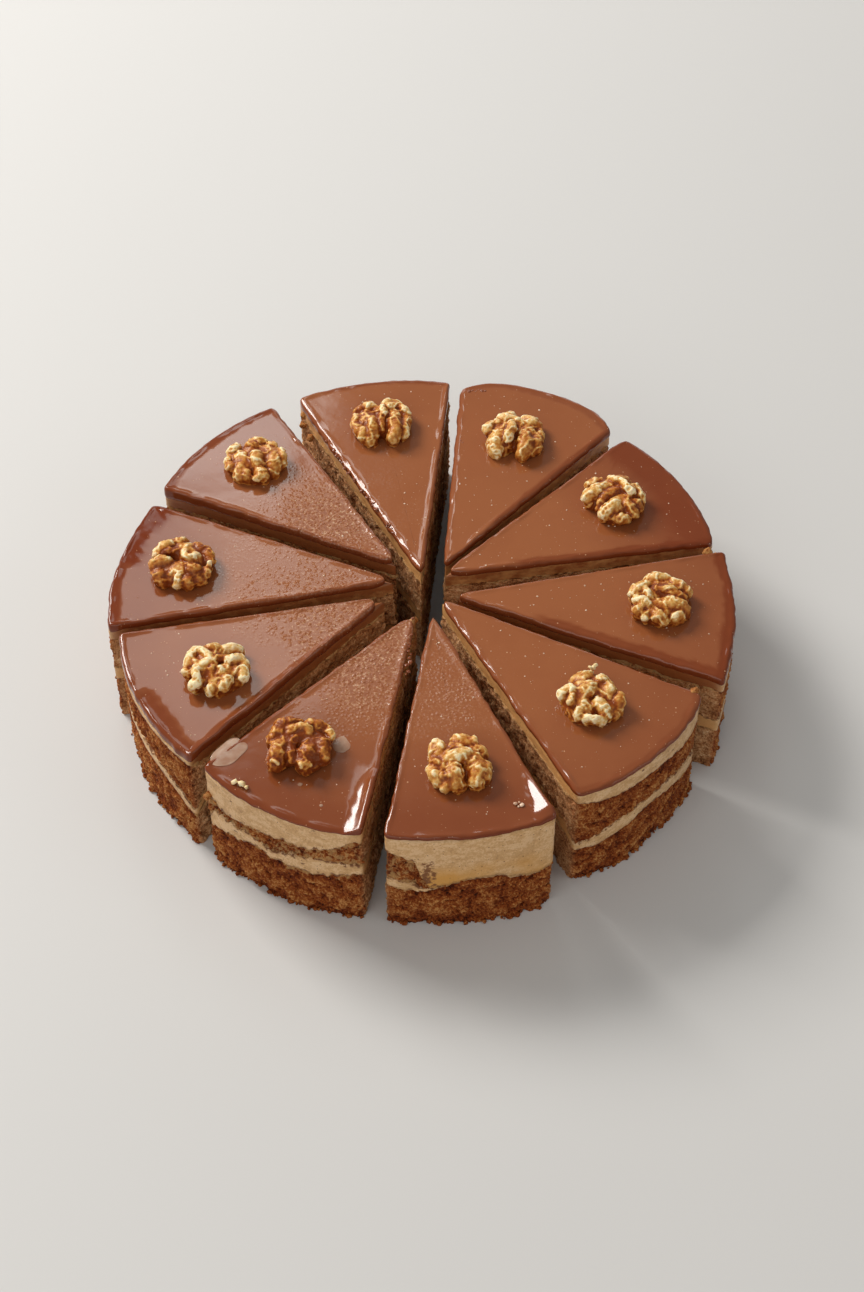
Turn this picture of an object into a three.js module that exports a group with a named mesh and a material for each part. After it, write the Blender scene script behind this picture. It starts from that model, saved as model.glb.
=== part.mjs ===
// A coffee and walnut cake: two sponges with a coffee cream between and on top, a chocolate glaze, and
// half a walnut on each of the ten slices, which are cut and pushed a little apart.
// Millimetres, +Z up, standing on z = 0. The cake's centre is at x = y = 0 and the front is towards -Y.
import * as THREE from "three";
import { mergeVertices } from "three/addons/utils/BufferGeometryUtils.js";

// ---------------------------------------------------------------- heights above the plate
const LOWER_SPONGE_TOP = 24;
const FILLING_TOP = 29.5;
const UPPER_SPONGE_TOP = 47.5;
const GLAZE_TOP = 56;
// Clear space between touching layers, and under each walnut.
const LAYER_GAP = 0.3;
// How much the lines between the layers wander up and down on a cut face.
const LAYER_WANDER = 0.7;
// The upper sponge is at least this thick where cream hangs down over it.
const THINNEST_SPONGE = 1.2;

// ---------------------------------------------------------------- the plan of a slice
// A slice's point is blunt: each cut starts this far from it, and the nose lies a third as far.
const NOSE_CUT = 3;
const NOSE_TIP = 1;
// The grid's rows: the nose, two across the slice as shares of its length, one this far inside the rim
// and the rim itself.
const INNER_ROWS = [0.35, 0.7];
const RIM_BAND = 6;
const BAND_ROW = INNER_ROWS.length + 1;
const RIM_ROW = INNER_ROWS.length + 2;
// Places round the rim, from one cut to the other. The two end ones are the rounded corners.
const RIM_PLACES = [0, 0.03, 0.14, 0.28, 0.42, 0.58, 0.72, 0.86, 0.97, 1];
const CORNER_ROUNDING = 0.9;

// ---------------------------------------------------------------- the walls
// How far the sponge stands out past the glaze's edge, and how rough each surface is, outwards and inwards.
const SPONGE_BULGE = 1.1;
const SPONGE_ROUGHNESS = 1.0;
const CREAM_ROUGHNESS = 0.25;
const FOOT_ROUGHNESS = 1.5;
// A knife leaves the cut faces much smoother than the baked rim.
const CUT_FACE_SHARE = 0.3;
// The glaze's edge from its underside up: how far it stands out, at these shares of its thickness.
const GLAZE_EDGE = [
  { out: 0.3, up: 0 },
  { out: 0.8, up: 0.3 },
  { out: 0.4, up: 0.75 },
  { out: -0.8, up: 1 },
];

// ---------------------------------------------------------------- the ten slices
// Anticlockwise angles in degrees from +X. Each slice has its point, the directions and lengths of its two
// cuts, how far the rim swells between them, how far the glaze stays behind the point, the glaze's thickness
// and how far the glaze sinks at the rim. A walnut has its place, the way its notch faces and its width.
const SLICES = [
  {
    point: [-0.4, 9.0], cuts: [84.0, 117.5], reach: [117.2, 118.0], swell: 1.0,
    setback: 1, glaze: 2.8, droop: 0.4, walnut: { at: [-18.2, 94.6], notch: -88, width: 28 },
  },
  {
    point: [8.9, 13.0], cuts: [48.1, 85.7], reach: [109.1, 108.9], swell: 7.0,
    setback: 1, glaze: 2.8, droop: 0.8, walnut: { at: [39.4, 85.7], notch: -98, width: 29 },
  },
  {
    point: [8.1, 8.0], cuts: [9.3, 45.4], reach: [114.0, 113.8], swell: 0.7,
    setback: 3, glaze: 2.8, droop: 0.4, walnut: { at: [80.1, 47.6], notch: -140, width: 30 },
  },
  {
    point: [13.0, -3.7], cuts: [-23.3, 12.4], reach: [115.2, 114.3], swell: -1.1,
    setback: 1.5, glaze: 3.6, droop: 0.8, walnut: { at: [96.0, -10.5], notch: -21, width: 28 },
  },
  {
    point: [7.2, -5.6], cuts: [-62.9, -26.8], reach: [112.6, 113.8], swell: 2.6,
    setback: 2, glaze: 2.4, droop: 0.4, walnut: { at: [65.3, -61.9], notch: -60, width: 28 },
  },
  {
    point: [4.1, -14.6], cuts: [-99.1, -65.7], reach: [112.1, 111.9], swell: 0.2,
    setback: 0.5, glaze: 2.2, droop: 0.3, walnut: { at: [14.2, -94.2], notch: -85, width: 28 },
  },
  {
    point: [-2.2, -12.3], cuts: [-135.3, -100.1], reach: [113.4, 113.2], swell: 1.5,
    setback: 5, glaze: 2.2, droop: 0.3, walnut: { at: [-46.7, -85.9], notch: -103, width: 29 },
  },
  {
    point: [-14.4, -4.3], cuts: [-169.0, -131.6], reach: [108.6, 111.8], swell: 0.4,
    setback: 5, glaze: 3.4, droop: 1.2, walnut: { at: [-80.8, -47.4], notch: 43, width: 29 },
  },
  {
    point: [-10.5, 4.5], cuts: [156.8, 192.5], reach: [112.3, 118.4], swell: -0.3,
    setback: 4, glaze: 2.8, droop: 1.5, walnut: { at: [-98.5, 10.2], notch: 168, width: 28 },
  },
  {
    point: [-9.9, 13.7], cuts: [120.8, 156.8], reach: [110.0, 108.7], swell: 0.3,
    setback: 3, glaze: 2.8, droop: 1.2, walnut: { at: [-71.8, 70.7], notch: -70, width: 29 },
  },
];

// Where the layers meet at the rim of the three front slices and the left one, at nine even places from the
// left corner of the slice to its right corner as seen from outside. Elsewhere they keep their usual heights.
// The sixth slice's top cream hangs over its rim like a skirt and hides the upper sponge but for one corner.
const RIM_HEIGHTS = new Map([
  [5, {
    lowerSponge: [21, 21, 22.5, 25, 27.5, 25.5, 24, 20.5, 18.5],
    filling: [23, 26, 29, 30.5, 31, 30.5, 29.5, 26.5, 21.5],
    upperSponge: [50, 48, 47, 47, 47, 46, 44.5, 44, 43],
  }],
  [6, {
    lowerSponge: [25, 23.5, 22.7, 27.5, 29.5, 29.5, 26, 24.5, 26],
    filling: [28.5, 27, 24.5, 29, 31, 31, 27.5, 26, 27.5],
    upperSponge: [47.8, 47, 24.5, 29, 31, 31, 27.5, 26, 27.5],
  }],
  [7, {
    lowerSponge: [21.5, 24, 26.5, 28.7, 26, 25.6, 25.5, 28, 30],
    filling: [27, 32.5, 32.3, 32, 29, 32, 34.2, 34, 34.7],
    upperSponge: [40.8, 37.5, 38, 39.2, 39.6, 39.6, 41, 45, 51],
  }],
  [8, {
    lowerSponge: [24, 25, 26, 27, 28, 28, 27, 24, 18],
    filling: [27, 28, 29, 30, 31, 31, 30, 27, 21],
    upperSponge: [47, 47, 48, 48.5, 49, 49.5, 50, 50, 50],
  }],
]);

// ---------------------------------------------------------------- the walnut half
// Its inner face is up: rolled lobes round the outside, two long legs beside the notch, and a thin stem
// between them. Each lobe is a ball or a short rod, for a nut 30 mm wide: from, to, radius and height of its
// middle. The ones with mirror: true come twice, on both sides of the stem. The notch faces -Y here.
const NUT_WIDTH = 30;
const NUT_LOBES = [
  { from: [0, 6], to: [0, -6.5], radius: 1.7, height: 7.5 },
  { from: [4.6, -1.5], to: [5.8, -9.5], radius: 3.5, height: 6.4, mirror: true },
  { from: [3.6, 9.6], to: [6.6, 9.0], radius: 3.6, height: 7.4, mirror: true },
  { from: [10.0, 6.2], to: [11.0, 4.8], radius: 3.3, height: 6.0, mirror: true },
  { from: [11.6, 0.4], to: [11.9, -1.4], radius: 3.0, height: 5.4, mirror: true },
  { from: [10.4, -5.6], to: [9.8, -7.0], radius: 3.0, height: 5.2, mirror: true },
  { from: [6.6, 3.6], to: [7.8, 2.2], radius: 3.0, height: 5.6, mirror: true },
];
// The meat between the lobes, how softly lobes run into it, and how far a nut's own lobes differ.
const NUT_BED_HEIGHT = 5;
const NUT_SOFTNESS = 0.55;
const NUT_PLACE_SHIFT = 0.9;
const NUT_SIZE_SHIFT = 0.12;
// The nut's grid: directions round it and rings out to its edge, with the side drawn in below.
const NUT_DIRECTIONS = 30;
const NUT_RINGS = [0.2, 0.38, 0.54, 0.69, 0.83, 0.94, 1];
const NUT_EDGE_HEIGHT = 4;
const NUT_FOOT_SHARE = 0.84;

// ---------------------------------------------------------------- finishes
const FINISHES = {
  lower_sponge: { color: 0x8e5526, roughness: 0.95, metalness: 0 },
  filling: { color: 0xa98a5c, roughness: 0.75, metalness: 0 },
  upper_sponge: { color: 0x84512a, roughness: 0.95, metalness: 0 },
  top_cream: { color: 0xb0956a, roughness: 0.7, metalness: 0 },
  glaze: { color: 0x7c4529, roughness: 0.25, metalness: 0 },
  walnut: { color: 0xb47f45, roughness: 0.6, metalness: 0 },
};

// ---------------------------------------------------------------- small helpers
// A repeatable stream of numbers from 0 to 1.
function randomStream(seed) {
  let state = seed;
  return () => {
    state = (state * 16807) % 2147483647;
    return state / 2147483647;
  };
}

function direction(degrees) {
  const angle = THREE.MathUtils.degToRad(degrees);
  return new THREE.Vector2(Math.cos(angle), Math.sin(angle));
}

function mix(a, b, share) {
  return a + (b - a) * share;
}

// The value at a place from 0 to 1 along evenly spaced values.
function along(values, place) {
  const position = place * (values.length - 1);
  const index = Math.min(Math.floor(position), values.length - 2);
  return mix(values[index], values[index + 1], position - index);
}

// Collects triangles and turns them into one closed body, leaving out those with no area.
class Shell {
  constructor() {
    this.positions = [];
  }

  triangle(a, b, c) {
    const flat = a.distanceTo(b) < 1e-4 || b.distanceTo(c) < 1e-4 || c.distanceTo(a) < 1e-4;
    if (!flat) this.positions.push(...a.toArray(), ...b.toArray(), ...c.toArray());
  }

  // The four corners run anticlockwise as seen from outside.
  quad(a, b, c, d) {
    this.triangle(a, b, c);
    this.triangle(a, c, d);
  }

  geometry() {
    const loose = new THREE.BufferGeometry();
    loose.setAttribute("position", new THREE.Float32BufferAttribute(this.positions, 3));
    const merged = mergeVertices(loose, 1e-4);
    merged.computeVertexNormals();
    return merged;
  }
}

// ---------------------------------------------------------------- the plan grid of a slice
// The distance from a slice's point to its rim at a place from 0, the first cut, to 1, the second.
function reachAt(slice, place) {
  const bulge = slice.swell * (1 - Math.pow(2 * place - 1, 4));
  const corner = place === 0 || place === 1 ? CORNER_ROUNDING : 0;
  return mix(slice.reach[0], slice.reach[1], place) + bulge - corner;
}

function planPoint(slice, place, distance) {
  const aim = direction(mix(slice.cuts[0], slice.cuts[1], place));
  return new THREE.Vector2(...slice.point).addScaledVector(aim, distance);
}

// A point of the grid. Those on the outline later get a column and the way they face.
function gridPoint(slice, place, distance, row) {
  return {
    place,
    row,
    onRim: row === RIM_ROW,
    at: planPoint(slice, place, distance),
    column: -1,
    outward: new THREE.Vector2(),
  };
}

// Rows of grid points from the nose to the rim. setback moves the nose outwards, for the glaze.
function planRows(slice, setback) {
  const nose = [
    gridPoint(slice, 0, NOSE_CUT + setback, 0),
    gridPoint(slice, 0.5, NOSE_TIP + setback, 0),
    gridPoint(slice, 1, NOSE_CUT + setback, 0),
  ];
  const inner = INNER_ROWS.map((share, index) =>
    [0, 0.5, 1].map((place) => gridPoint(slice, place, share * reachAt(slice, place), index + 1)),
  );
  const lastRow = (inset, row) =>
    RIM_PLACES.map((place) => gridPoint(slice, place, reachAt(slice, place) - inset, row));
  return [nose, ...inner, lastRow(RIM_BAND, BAND_ROW), lastRow(0, RIM_ROW)];
}

// The outline of the rows, anticlockwise from the nose along the first cut.
function outlineOf(rows) {
  const firstCut = rows.slice(0, -1).map((row) => row[0]);
  const secondCut = rows.slice(0, -1).map((row) => row[row.length - 1]);
  return [...firstCut, ...rows[rows.length - 1], ...secondCut.reverse(), rows[0][1]];
}

// Gives each outline point the way it faces, square to its cut or straight out of the rim.
function faceOutwards(slice, rows) {
  const outline = outlineOf(rows);
  const across = [direction(slice.cuts[0] - 90), direction(slice.cuts[1] + 90)];
  outline.forEach((point, column) => {
    const aim = direction(mix(slice.cuts[0], slice.cuts[1], point.place));
    point.column = column;
    if (point.onRim) point.outward.add(aim);
    if (point === rows[0][1]) point.outward.sub(aim);
    if (point.place === 0) point.outward.add(across[0]);
    if (point.place === 1) point.outward.add(across[1]);
  });
  return outline;
}

// Triangles between two neighbouring rows, each three points that run anticlockwise from above.
function stitchRows(inner, outer) {
  const triangles = [];
  let i = 0;
  let j = 0;
  while (i < inner.length - 1 || j < outer.length - 1) {
    const nextInner = i < inner.length - 1 ? inner[i + 1].place : Infinity;
    const nextOuter = j < outer.length - 1 ? outer[j + 1].place : Infinity;
    if (nextOuter <= nextInner) {
      triangles.push([inner[i], outer[j], outer[j + 1]]);
      j += 1;
    } else {
      triangles.push([inner[i], outer[j], inner[i + 1]]);
      i += 1;
    }
  }
  return triangles;
}

function planOf(slice, setback) {
  const rows = planRows(slice, setback);
  const outline = faceOutwards(slice, rows);
  const triangles = rows.slice(1).flatMap((row, index) => stitchRows(rows[index], row));
  return { rows, outline, triangles };
}

// ---------------------------------------------------------------- the heights where layers meet
// Level 0 is the plate, then the tops of lower sponge, filling, upper sponge, cream and glaze.
const LEVELS = { plate: 0, lowerSponge: 1, filling: 2, upperSponge: 3, cream: 4, glaze: 5 };

function usualHeight(slice, level) {
  const creamTop = GLAZE_TOP - slice.glaze;
  return [0, LOWER_SPONGE_TOP, FILLING_TOP, UPPER_SPONGE_TOP, creamTop, GLAZE_TOP][level];
}

// At the rim the glaze and the cream sink a little, and some slices have layer heights of their own.
function rimHeight(slice, number, level, place) {
  const own = RIM_HEIGHTS.get(number);
  const name = ["", "lowerSponge", "filling", "upperSponge"][level];
  if (level >= LEVELS.cream) return usualHeight(slice, level) - slice.droop;
  if (!own || !name) return usualHeight(slice, level);
  const thinnest = along(own.filling, place) + LAYER_GAP + THINNEST_SPONGE;
  const least = level === LEVELS.upperSponge ? thinnest : 0;
  return Math.max(along(own[name], place), least);
}

// One height for each level and grid point. Every layer reads it, so touching layers have one form.
function heightField(slice, number) {
  const random = randomStream(1000 + 37 * number);
  const wander = new Map();
  return (level, point) => {
    const height = point.onRim ? rimHeight(slice, number, level, point.place) : usualHeight(slice, level);
    const isEven = level === LEVELS.plate || level >= LEVELS.cream;
    if (isEven || (point.onRim && RIM_HEIGHTS.has(number))) return height;
    const key = `${level} ${point.row} ${point.place}`;
    if (!wander.has(key)) wander.set(key, (2 * random() - 1) * LAYER_WANDER);
    return height + wander.get(key);
  };
}

// ---------------------------------------------------------------- one layer of a slice
// How far the wall stands out at each column of the outline, for the loop of points named by key.
function wallRelief(number, key, roughness, bulge, outline) {
  const random = randomStream(7000 + 101 * number + 13 * key);
  return outline.map((point) => {
    const share = point.onRim ? 1 : CUT_FACE_SHARE;
    return share * (bulge + (2 * random() - 1) * roughness);
  });
}

// A closed body between two caps, whose outline is drawn out at each loop as the reliefs say.
// Loops are bottom to top, each a share of the height and a distance out for each outline point.
function layerGeometry(plan, bottomAt, topAt, loops) {
  const shell = new Shell();
  const capHeight = (point, share) => mix(bottomAt(point), Math.max(topAt(point), bottomAt(point)), share);
  const capPoint = (point, loop) => {
    const out = point.column >= 0 ? loop.out[point.column] : 0;
    const at = point.at.clone().addScaledVector(point.outward, out);
    return new THREE.Vector3(at.x, at.y, capHeight(point, loop.share));
  };
  const lowest = loops[0];
  const highest = loops[loops.length - 1];
  plan.triangles.forEach(([a, b, c]) => {
    shell.triangle(capPoint(a, highest), capPoint(b, highest), capPoint(c, highest));
    shell.triangle(capPoint(a, lowest), capPoint(c, lowest), capPoint(b, lowest));
  });
  loops.slice(1).forEach((upper, index) => {
    const lower = loops[index];
    plan.outline.forEach((point, column) => {
      const next = plan.outline[(column + 1) % plan.outline.length];
      const foot = [capPoint(point, lower), capPoint(next, lower)];
      const head = [capPoint(next, upper), capPoint(point, upper)];
      shell.quad(...foot, ...head);
    });
  });
  return shell.geometry();
}

const SPONGE_WALL = { roughness: SPONGE_ROUGHNESS, bulge: SPONGE_BULGE };
const CREAM_WALL = { roughness: CREAM_ROUGHNESS, bulge: 0 };

// Where two layers meet, the wall is halfway between theirs. The foot is the roughest.
function meetingWall(level) {
  if (level === LEVELS.plate) return { roughness: FOOT_ROUGHNESS, bulge: SPONGE_BULGE };
  if (level >= LEVELS.cream) return CREAM_WALL;
  return { roughness: (SPONGE_ROUGHNESS + CREAM_ROUGHNESS) / 2, bulge: SPONGE_BULGE / 2 };
}

// The four layers under the glaze: the levels they lie between, and the loops their walls have.
const LAYERS = [
  { name: "lower_sponge", from: LEVELS.plate, to: LEVELS.lowerSponge, wall: SPONGE_WALL, steps: 4 },
  { name: "filling", from: LEVELS.lowerSponge, to: LEVELS.filling, wall: CREAM_WALL, steps: 1 },
  { name: "upper_sponge", from: LEVELS.filling, to: LEVELS.upperSponge, wall: SPONGE_WALL, steps: 3 },
  { name: "top_cream", from: LEVELS.upperSponge, to: LEVELS.cream, wall: CREAM_WALL, steps: 2 },
];

// Loops of a sponge or cream wall. The first and last are shared with the layers below and above.
function wallLoops(number, plan, layer) {
  const steps = layer.steps;
  return Array.from({ length: steps + 1 }, (_, step) => {
    const isEnd = step === 0 || step === steps;
    const level = step === 0 ? layer.from : layer.to;
    const key = isEnd ? 10 * level : 10 * layer.from + step;
    const { roughness, bulge } = isEnd ? meetingWall(level) : layer.wall;
    return { share: step / steps, out: wallRelief(number, key, roughness, bulge, plan.outline) };
  });
}

function meshNamed(name, finish, geometry) {
  const mesh = new THREE.Mesh(geometry, new THREE.MeshStandardMaterial(FINISHES[finish]));
  mesh.name = name;
  return mesh;
}

function sliceName(number, piece) {
  return `slice_${String(number).padStart(2, "0")}_${piece}`;
}

function makeLayer(slice, number, layer, heights) {
  const plan = planOf(slice, 0);
  const half = LAYER_GAP / 2;
  const bottomAt = (point) => heights(layer.from, point) + (layer.from === LEVELS.plate ? 0 : half);
  const topAt = (point) => heights(layer.to, point) - half;
  const geometry = layerGeometry(plan, bottomAt, topAt, wallLoops(number, plan, layer));
  return meshNamed(sliceName(number, layer.name), layer.name, geometry);
}

function makeGlaze(slice, number, heights) {
  const plan = planOf(slice, slice.setback);
  const bottomAt = (point) => heights(LEVELS.cream, point) + LAYER_GAP / 2;
  const topAt = (point) => heights(LEVELS.glaze, point);
  const loops = GLAZE_EDGE.map(({ out, up }) => ({ share: up, out: plan.outline.map(() => out) }));
  return meshNamed(sliceName(number, "glaze"), "glaze", layerGeometry(plan, bottomAt, topAt, loops));
}

// ---------------------------------------------------------------- walnuts
function shiftedLobe(lobe, side, random) {
  const shift = () => (2 * random() - 1) * NUT_PLACE_SHIFT;
  const offset = new THREE.Vector2(shift(), shift());
  const resized = 1 + (2 * random() - 1) * NUT_SIZE_SHIFT;
  return {
    from: new THREE.Vector2(side * lobe.from[0], lobe.from[1]).add(offset),
    to: new THREE.Vector2(side * lobe.to[0], lobe.to[1]).add(offset),
    radius: lobe.radius * resized,
    height: lobe.height + shift() / 2,
  };
}

function lobesOf(number) {
  const random = randomStream(400 + 59 * number);
  return NUT_LOBES.flatMap((lobe) =>
    (lobe.mirror ? [1, -1] : [1]).map((side) => shiftedLobe(lobe, side, random)),
  );
}

function distanceToLobe(lobe, at) {
  const axis = lobe.to.clone().sub(lobe.from);
  const share = THREE.MathUtils.clamp(at.clone().sub(lobe.from).dot(axis) / axis.lengthSq(), 0, 1);
  return at.distanceTo(lobe.from.clone().addScaledVector(axis, share));
}

// The nut's upper face: the lobes over a place and the bed between them, run softly together.
function nutHeight(lobes, at) {
  const tops = lobes.map((lobe) => {
    const distance = distanceToLobe(lobe, at);
    const rise = Math.sqrt(Math.max(lobe.radius ** 2 - distance ** 2, 0));
    return distance < lobe.radius ? lobe.height + rise : 0;
  });
  const heights = [NUT_BED_HEIGHT, ...tops];
  const sum = heights.reduce((total, height) => total + Math.exp(height / NUT_SOFTNESS), 0);
  return NUT_SOFTNESS * Math.log(sum);
}

// How far the lobes reach from the middle in one direction, found by walking inwards.
function nutReach(lobes, aim) {
  const start = NUT_WIDTH * 0.7;
  const stride = 0.2;
  let distance = start;
  while (distance > stride) {
    const at = aim.clone().multiplyScalar(distance);
    if (lobes.some((lobe) => distanceToLobe(lobe, at) < lobe.radius * 0.9)) return distance;
    distance -= stride;
  }
  return distance;
}

function nutGeometry(number) {
  const lobes = lobesOf(number);
  const aims = Array.from({ length: NUT_DIRECTIONS }, (_, i) => direction((360 / NUT_DIRECTIONS) * i));
  const reaches = aims.map((aim) => nutReach(lobes, aim));
  const ringAt = (share) =>
    aims.map((aim, i) => {
      const at = aim.clone().multiplyScalar(share * reaches[i]);
      const height = share === 1 ? NUT_EDGE_HEIGHT : nutHeight(lobes, at);
      return new THREE.Vector3(at.x, at.y, height);
    });
  const foot = aims.map((aim, i) => {
    const at = aim.clone().multiplyScalar(NUT_FOOT_SHARE * reaches[i]);
    return new THREE.Vector3(at.x, at.y, 0);
  });
  const rings = [foot, ...NUT_RINGS.map(ringAt).reverse()];
  const top = new THREE.Vector3(0, 0, nutHeight(lobes, new THREE.Vector2()));
  return closeRings(rings, new THREE.Vector3(), top);
}

// A closed body from rings that run anticlockwise, the lowest first, with a middle point at each end.
function closeRings(rings, bottom, top) {
  const shell = new Shell();
  const last = rings[rings.length - 1];
  rings[0].forEach((point, i) => {
    const next = (i + 1) % rings[0].length;
    shell.triangle(bottom, rings[0][next], point);
    shell.triangle(top, last[i], last[next]);
    rings.slice(1).forEach((upper, index) => {
      const lower = rings[index];
      shell.quad(lower[i], lower[next], upper[next], upper[i]);
    });
  });
  return shell.geometry();
}

function makeWalnut(slice, number) {
  const { at, notch, width } = slice.walnut;
  const mesh = meshNamed(sliceName(number, "walnut"), "walnut", nutGeometry(number));
  mesh.scale.setScalar(width / NUT_WIDTH);
  mesh.rotation.z = THREE.MathUtils.degToRad(notch + 90);
  mesh.position.set(at[0], at[1], GLAZE_TOP + LAYER_GAP / 2);
  return mesh;
}

// ---------------------------------------------------------------- the cake
function makeSlice(slice, number) {
  const heights = heightField(slice, number);
  const group = new THREE.Group();
  LAYERS.forEach((layer) => group.add(makeLayer(slice, number, layer, heights)));
  group.add(makeGlaze(slice, number, heights));
  group.add(makeWalnut(slice, number));
  return group;
}

const cake = new THREE.Group();
SLICES.forEach((slice, index) => cake.add(makeSlice(slice, index + 1)));

export default cake;
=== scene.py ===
"""A coffee and walnut cake in ten slices: two sponges with coffee cream between and on top, a poured
chocolate glaze with rounded lips, and half a walnut on each slice."""

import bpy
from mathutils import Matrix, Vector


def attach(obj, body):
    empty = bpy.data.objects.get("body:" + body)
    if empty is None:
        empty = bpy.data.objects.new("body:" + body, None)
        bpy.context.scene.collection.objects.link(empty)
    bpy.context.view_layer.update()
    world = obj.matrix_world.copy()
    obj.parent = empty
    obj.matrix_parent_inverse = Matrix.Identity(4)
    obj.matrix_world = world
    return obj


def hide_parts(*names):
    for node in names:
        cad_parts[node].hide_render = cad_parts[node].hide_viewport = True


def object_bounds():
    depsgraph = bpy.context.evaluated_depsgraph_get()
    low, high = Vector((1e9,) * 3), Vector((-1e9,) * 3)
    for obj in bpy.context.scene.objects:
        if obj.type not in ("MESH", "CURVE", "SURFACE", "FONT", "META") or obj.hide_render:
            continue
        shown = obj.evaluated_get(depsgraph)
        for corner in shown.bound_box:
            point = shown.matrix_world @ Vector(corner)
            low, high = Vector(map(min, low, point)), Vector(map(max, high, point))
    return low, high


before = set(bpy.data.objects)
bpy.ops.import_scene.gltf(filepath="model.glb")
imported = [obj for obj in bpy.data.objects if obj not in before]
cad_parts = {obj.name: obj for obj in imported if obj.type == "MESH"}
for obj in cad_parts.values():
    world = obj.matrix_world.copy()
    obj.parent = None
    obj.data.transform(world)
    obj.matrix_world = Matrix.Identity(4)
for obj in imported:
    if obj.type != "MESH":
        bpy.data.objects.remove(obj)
cad_box = [list(corner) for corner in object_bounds()]

import math

import bmesh
import bpy
import numpy as np
from mathutils import Vector, noise

MM = 0.001

# ---------------------------------------------------------------- heights above the plate, in millimetres
LOWER_SPONGE_TOP = 24
FILLING_TOP = 29.5
UPPER_SPONGE_TOP = 47.5
GLAZE_TOP = 56

# ---------------------------------------------------------------- the ten slices, in millimetres
# How far a slice's point is cut back along its cuts and in the middle, and how wide the band inside the
# rim is over which the rim's own heights fade out.
NOSE_CUT = 3
NOSE_TIP = 1
RIM_BAND = 6
# Where a slice's middle lies, as a share of the way from its point to its rim.
MIDDLE_SHARE = 0.66
# Columns of the walls: along each cut, round the rim and across the blunt point.
CUT_COLUMNS = 112
RIM_COLUMNS = 148
NOSE_COLUMNS = 12
COLUMNS = 2 * CUT_COLUMNS + RIM_COLUMNS + NOSE_COLUMNS
# Rows of the walls of each layer, from the plate upwards, and of the glaze.
WALL_ROWS = dict(lower_sponge=34, filling=9, upper_sponge=26, top_cream=14)
GLAZE_ROWS = 10
# How far towards the middle the rings of a layer's ends lie, and those of the glaze.
CAP_SHARES = [0.12, 0.5]
GLAZE_SHARES = [0.012, 0.025, 0.04, 0.06, 0.085, 0.115, 0.15, 0.2, 0.28, 0.4, 0.55, 0.75]

# Each slice, with anticlockwise angles in degrees from +X: the point, the directions and lengths of the two
# cuts, the rim's swell, and the glaze's setback at the point, thickness and droop. Then the way that the
# glaze's surface leans (degrees to the right and to the back), its sugar bloom, how much of its lightening,
# partly haze and partly painted light, is left at the rim, and how much brown glaze the knife dragged down
# over the cream of the cuts.
SLICES = [
    dict(point=(-0.4, 9.0), cuts=(84.0, 117.5), reach=(117.2, 118.0), swell=1.0, setback=1, glaze=2.8,
         droop=0.4, lean=(0.8, 0.0), bloom=0.25, rim_haze_and_light=0.9, dragged=0.15),
    dict(point=(8.9, 13.0), cuts=(48.1, 85.7), reach=(109.1, 108.9), swell=7.0, setback=1, glaze=2.8,
         droop=0.8, lean=(0.0, 0.0), bloom=0.0, rim_haze_and_light=0.8, dragged=0.4),
    dict(point=(8.1, 8.0), cuts=(9.3, 45.4), reach=(114.0, 113.8), swell=0.7, setback=3, glaze=2.8,
         droop=0.4, lean=(0.0, 0.0), bloom=0.05, rim_haze_and_light=0.0, dragged=0.5),
    dict(point=(13.0, -3.7), cuts=(-23.3, 12.4), reach=(115.2, 114.3), swell=-1.1, setback=1.5, glaze=3.6,
         droop=0.8, lean=(0.0, 0.0), bloom=0.0, rim_haze_and_light=0.5, dragged=0.8),
    dict(point=(7.2, -5.6), cuts=(-62.9, -26.8), reach=(112.6, 113.8), swell=2.6, setback=2, glaze=2.4,
         droop=-0.4, lean=(0.0, 0.0), bloom=0.15, rim_haze_and_light=0.5, dragged=0.1),
    dict(point=(4.1, -14.6), cuts=(-99.1, -65.7), reach=(112.1, 111.9), swell=0.2, setback=0.5, glaze=2.2,
         droop=-0.6, lean=(0.4, 0.0), bloom=0.6, rim_haze_and_light=0.0, dragged=0.2),
    dict(point=(-2.2, -12.3), cuts=(-135.3, -100.1), reach=(113.4, 113.2), swell=1.5, setback=5, glaze=2.2,
         droop=0.3, lean=(0.5, -1.0), bloom=1.0, rim_haze_and_light=0.0, dragged=0.3),
    dict(point=(-14.4, -4.3), cuts=(-169.0, -131.6), reach=(108.6, 111.8), swell=0.4, setback=5, glaze=3.4,
         droop=1.2, lean=(0.0, 0.0), bloom=0.8, rim_haze_and_light=0.4, dragged=0.7),
    dict(point=(-10.5, 4.5), cuts=(156.8, 192.5), reach=(112.3, 118.4), swell=-0.3, setback=4, glaze=2.8,
         droop=1.5, lean=(0.0, 0.0), bloom=0.7, rim_haze_and_light=0.1, dragged=0.6),
    dict(point=(-9.9, 13.7), cuts=(120.8, 156.8), reach=(110.0, 108.7), swell=0.3, setback=3, glaze=2.8,
         droop=1.2, lean=(1.2, 0.0), bloom=0.9, rim_haze_and_light=0.3, dragged=0.9),
]
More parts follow.
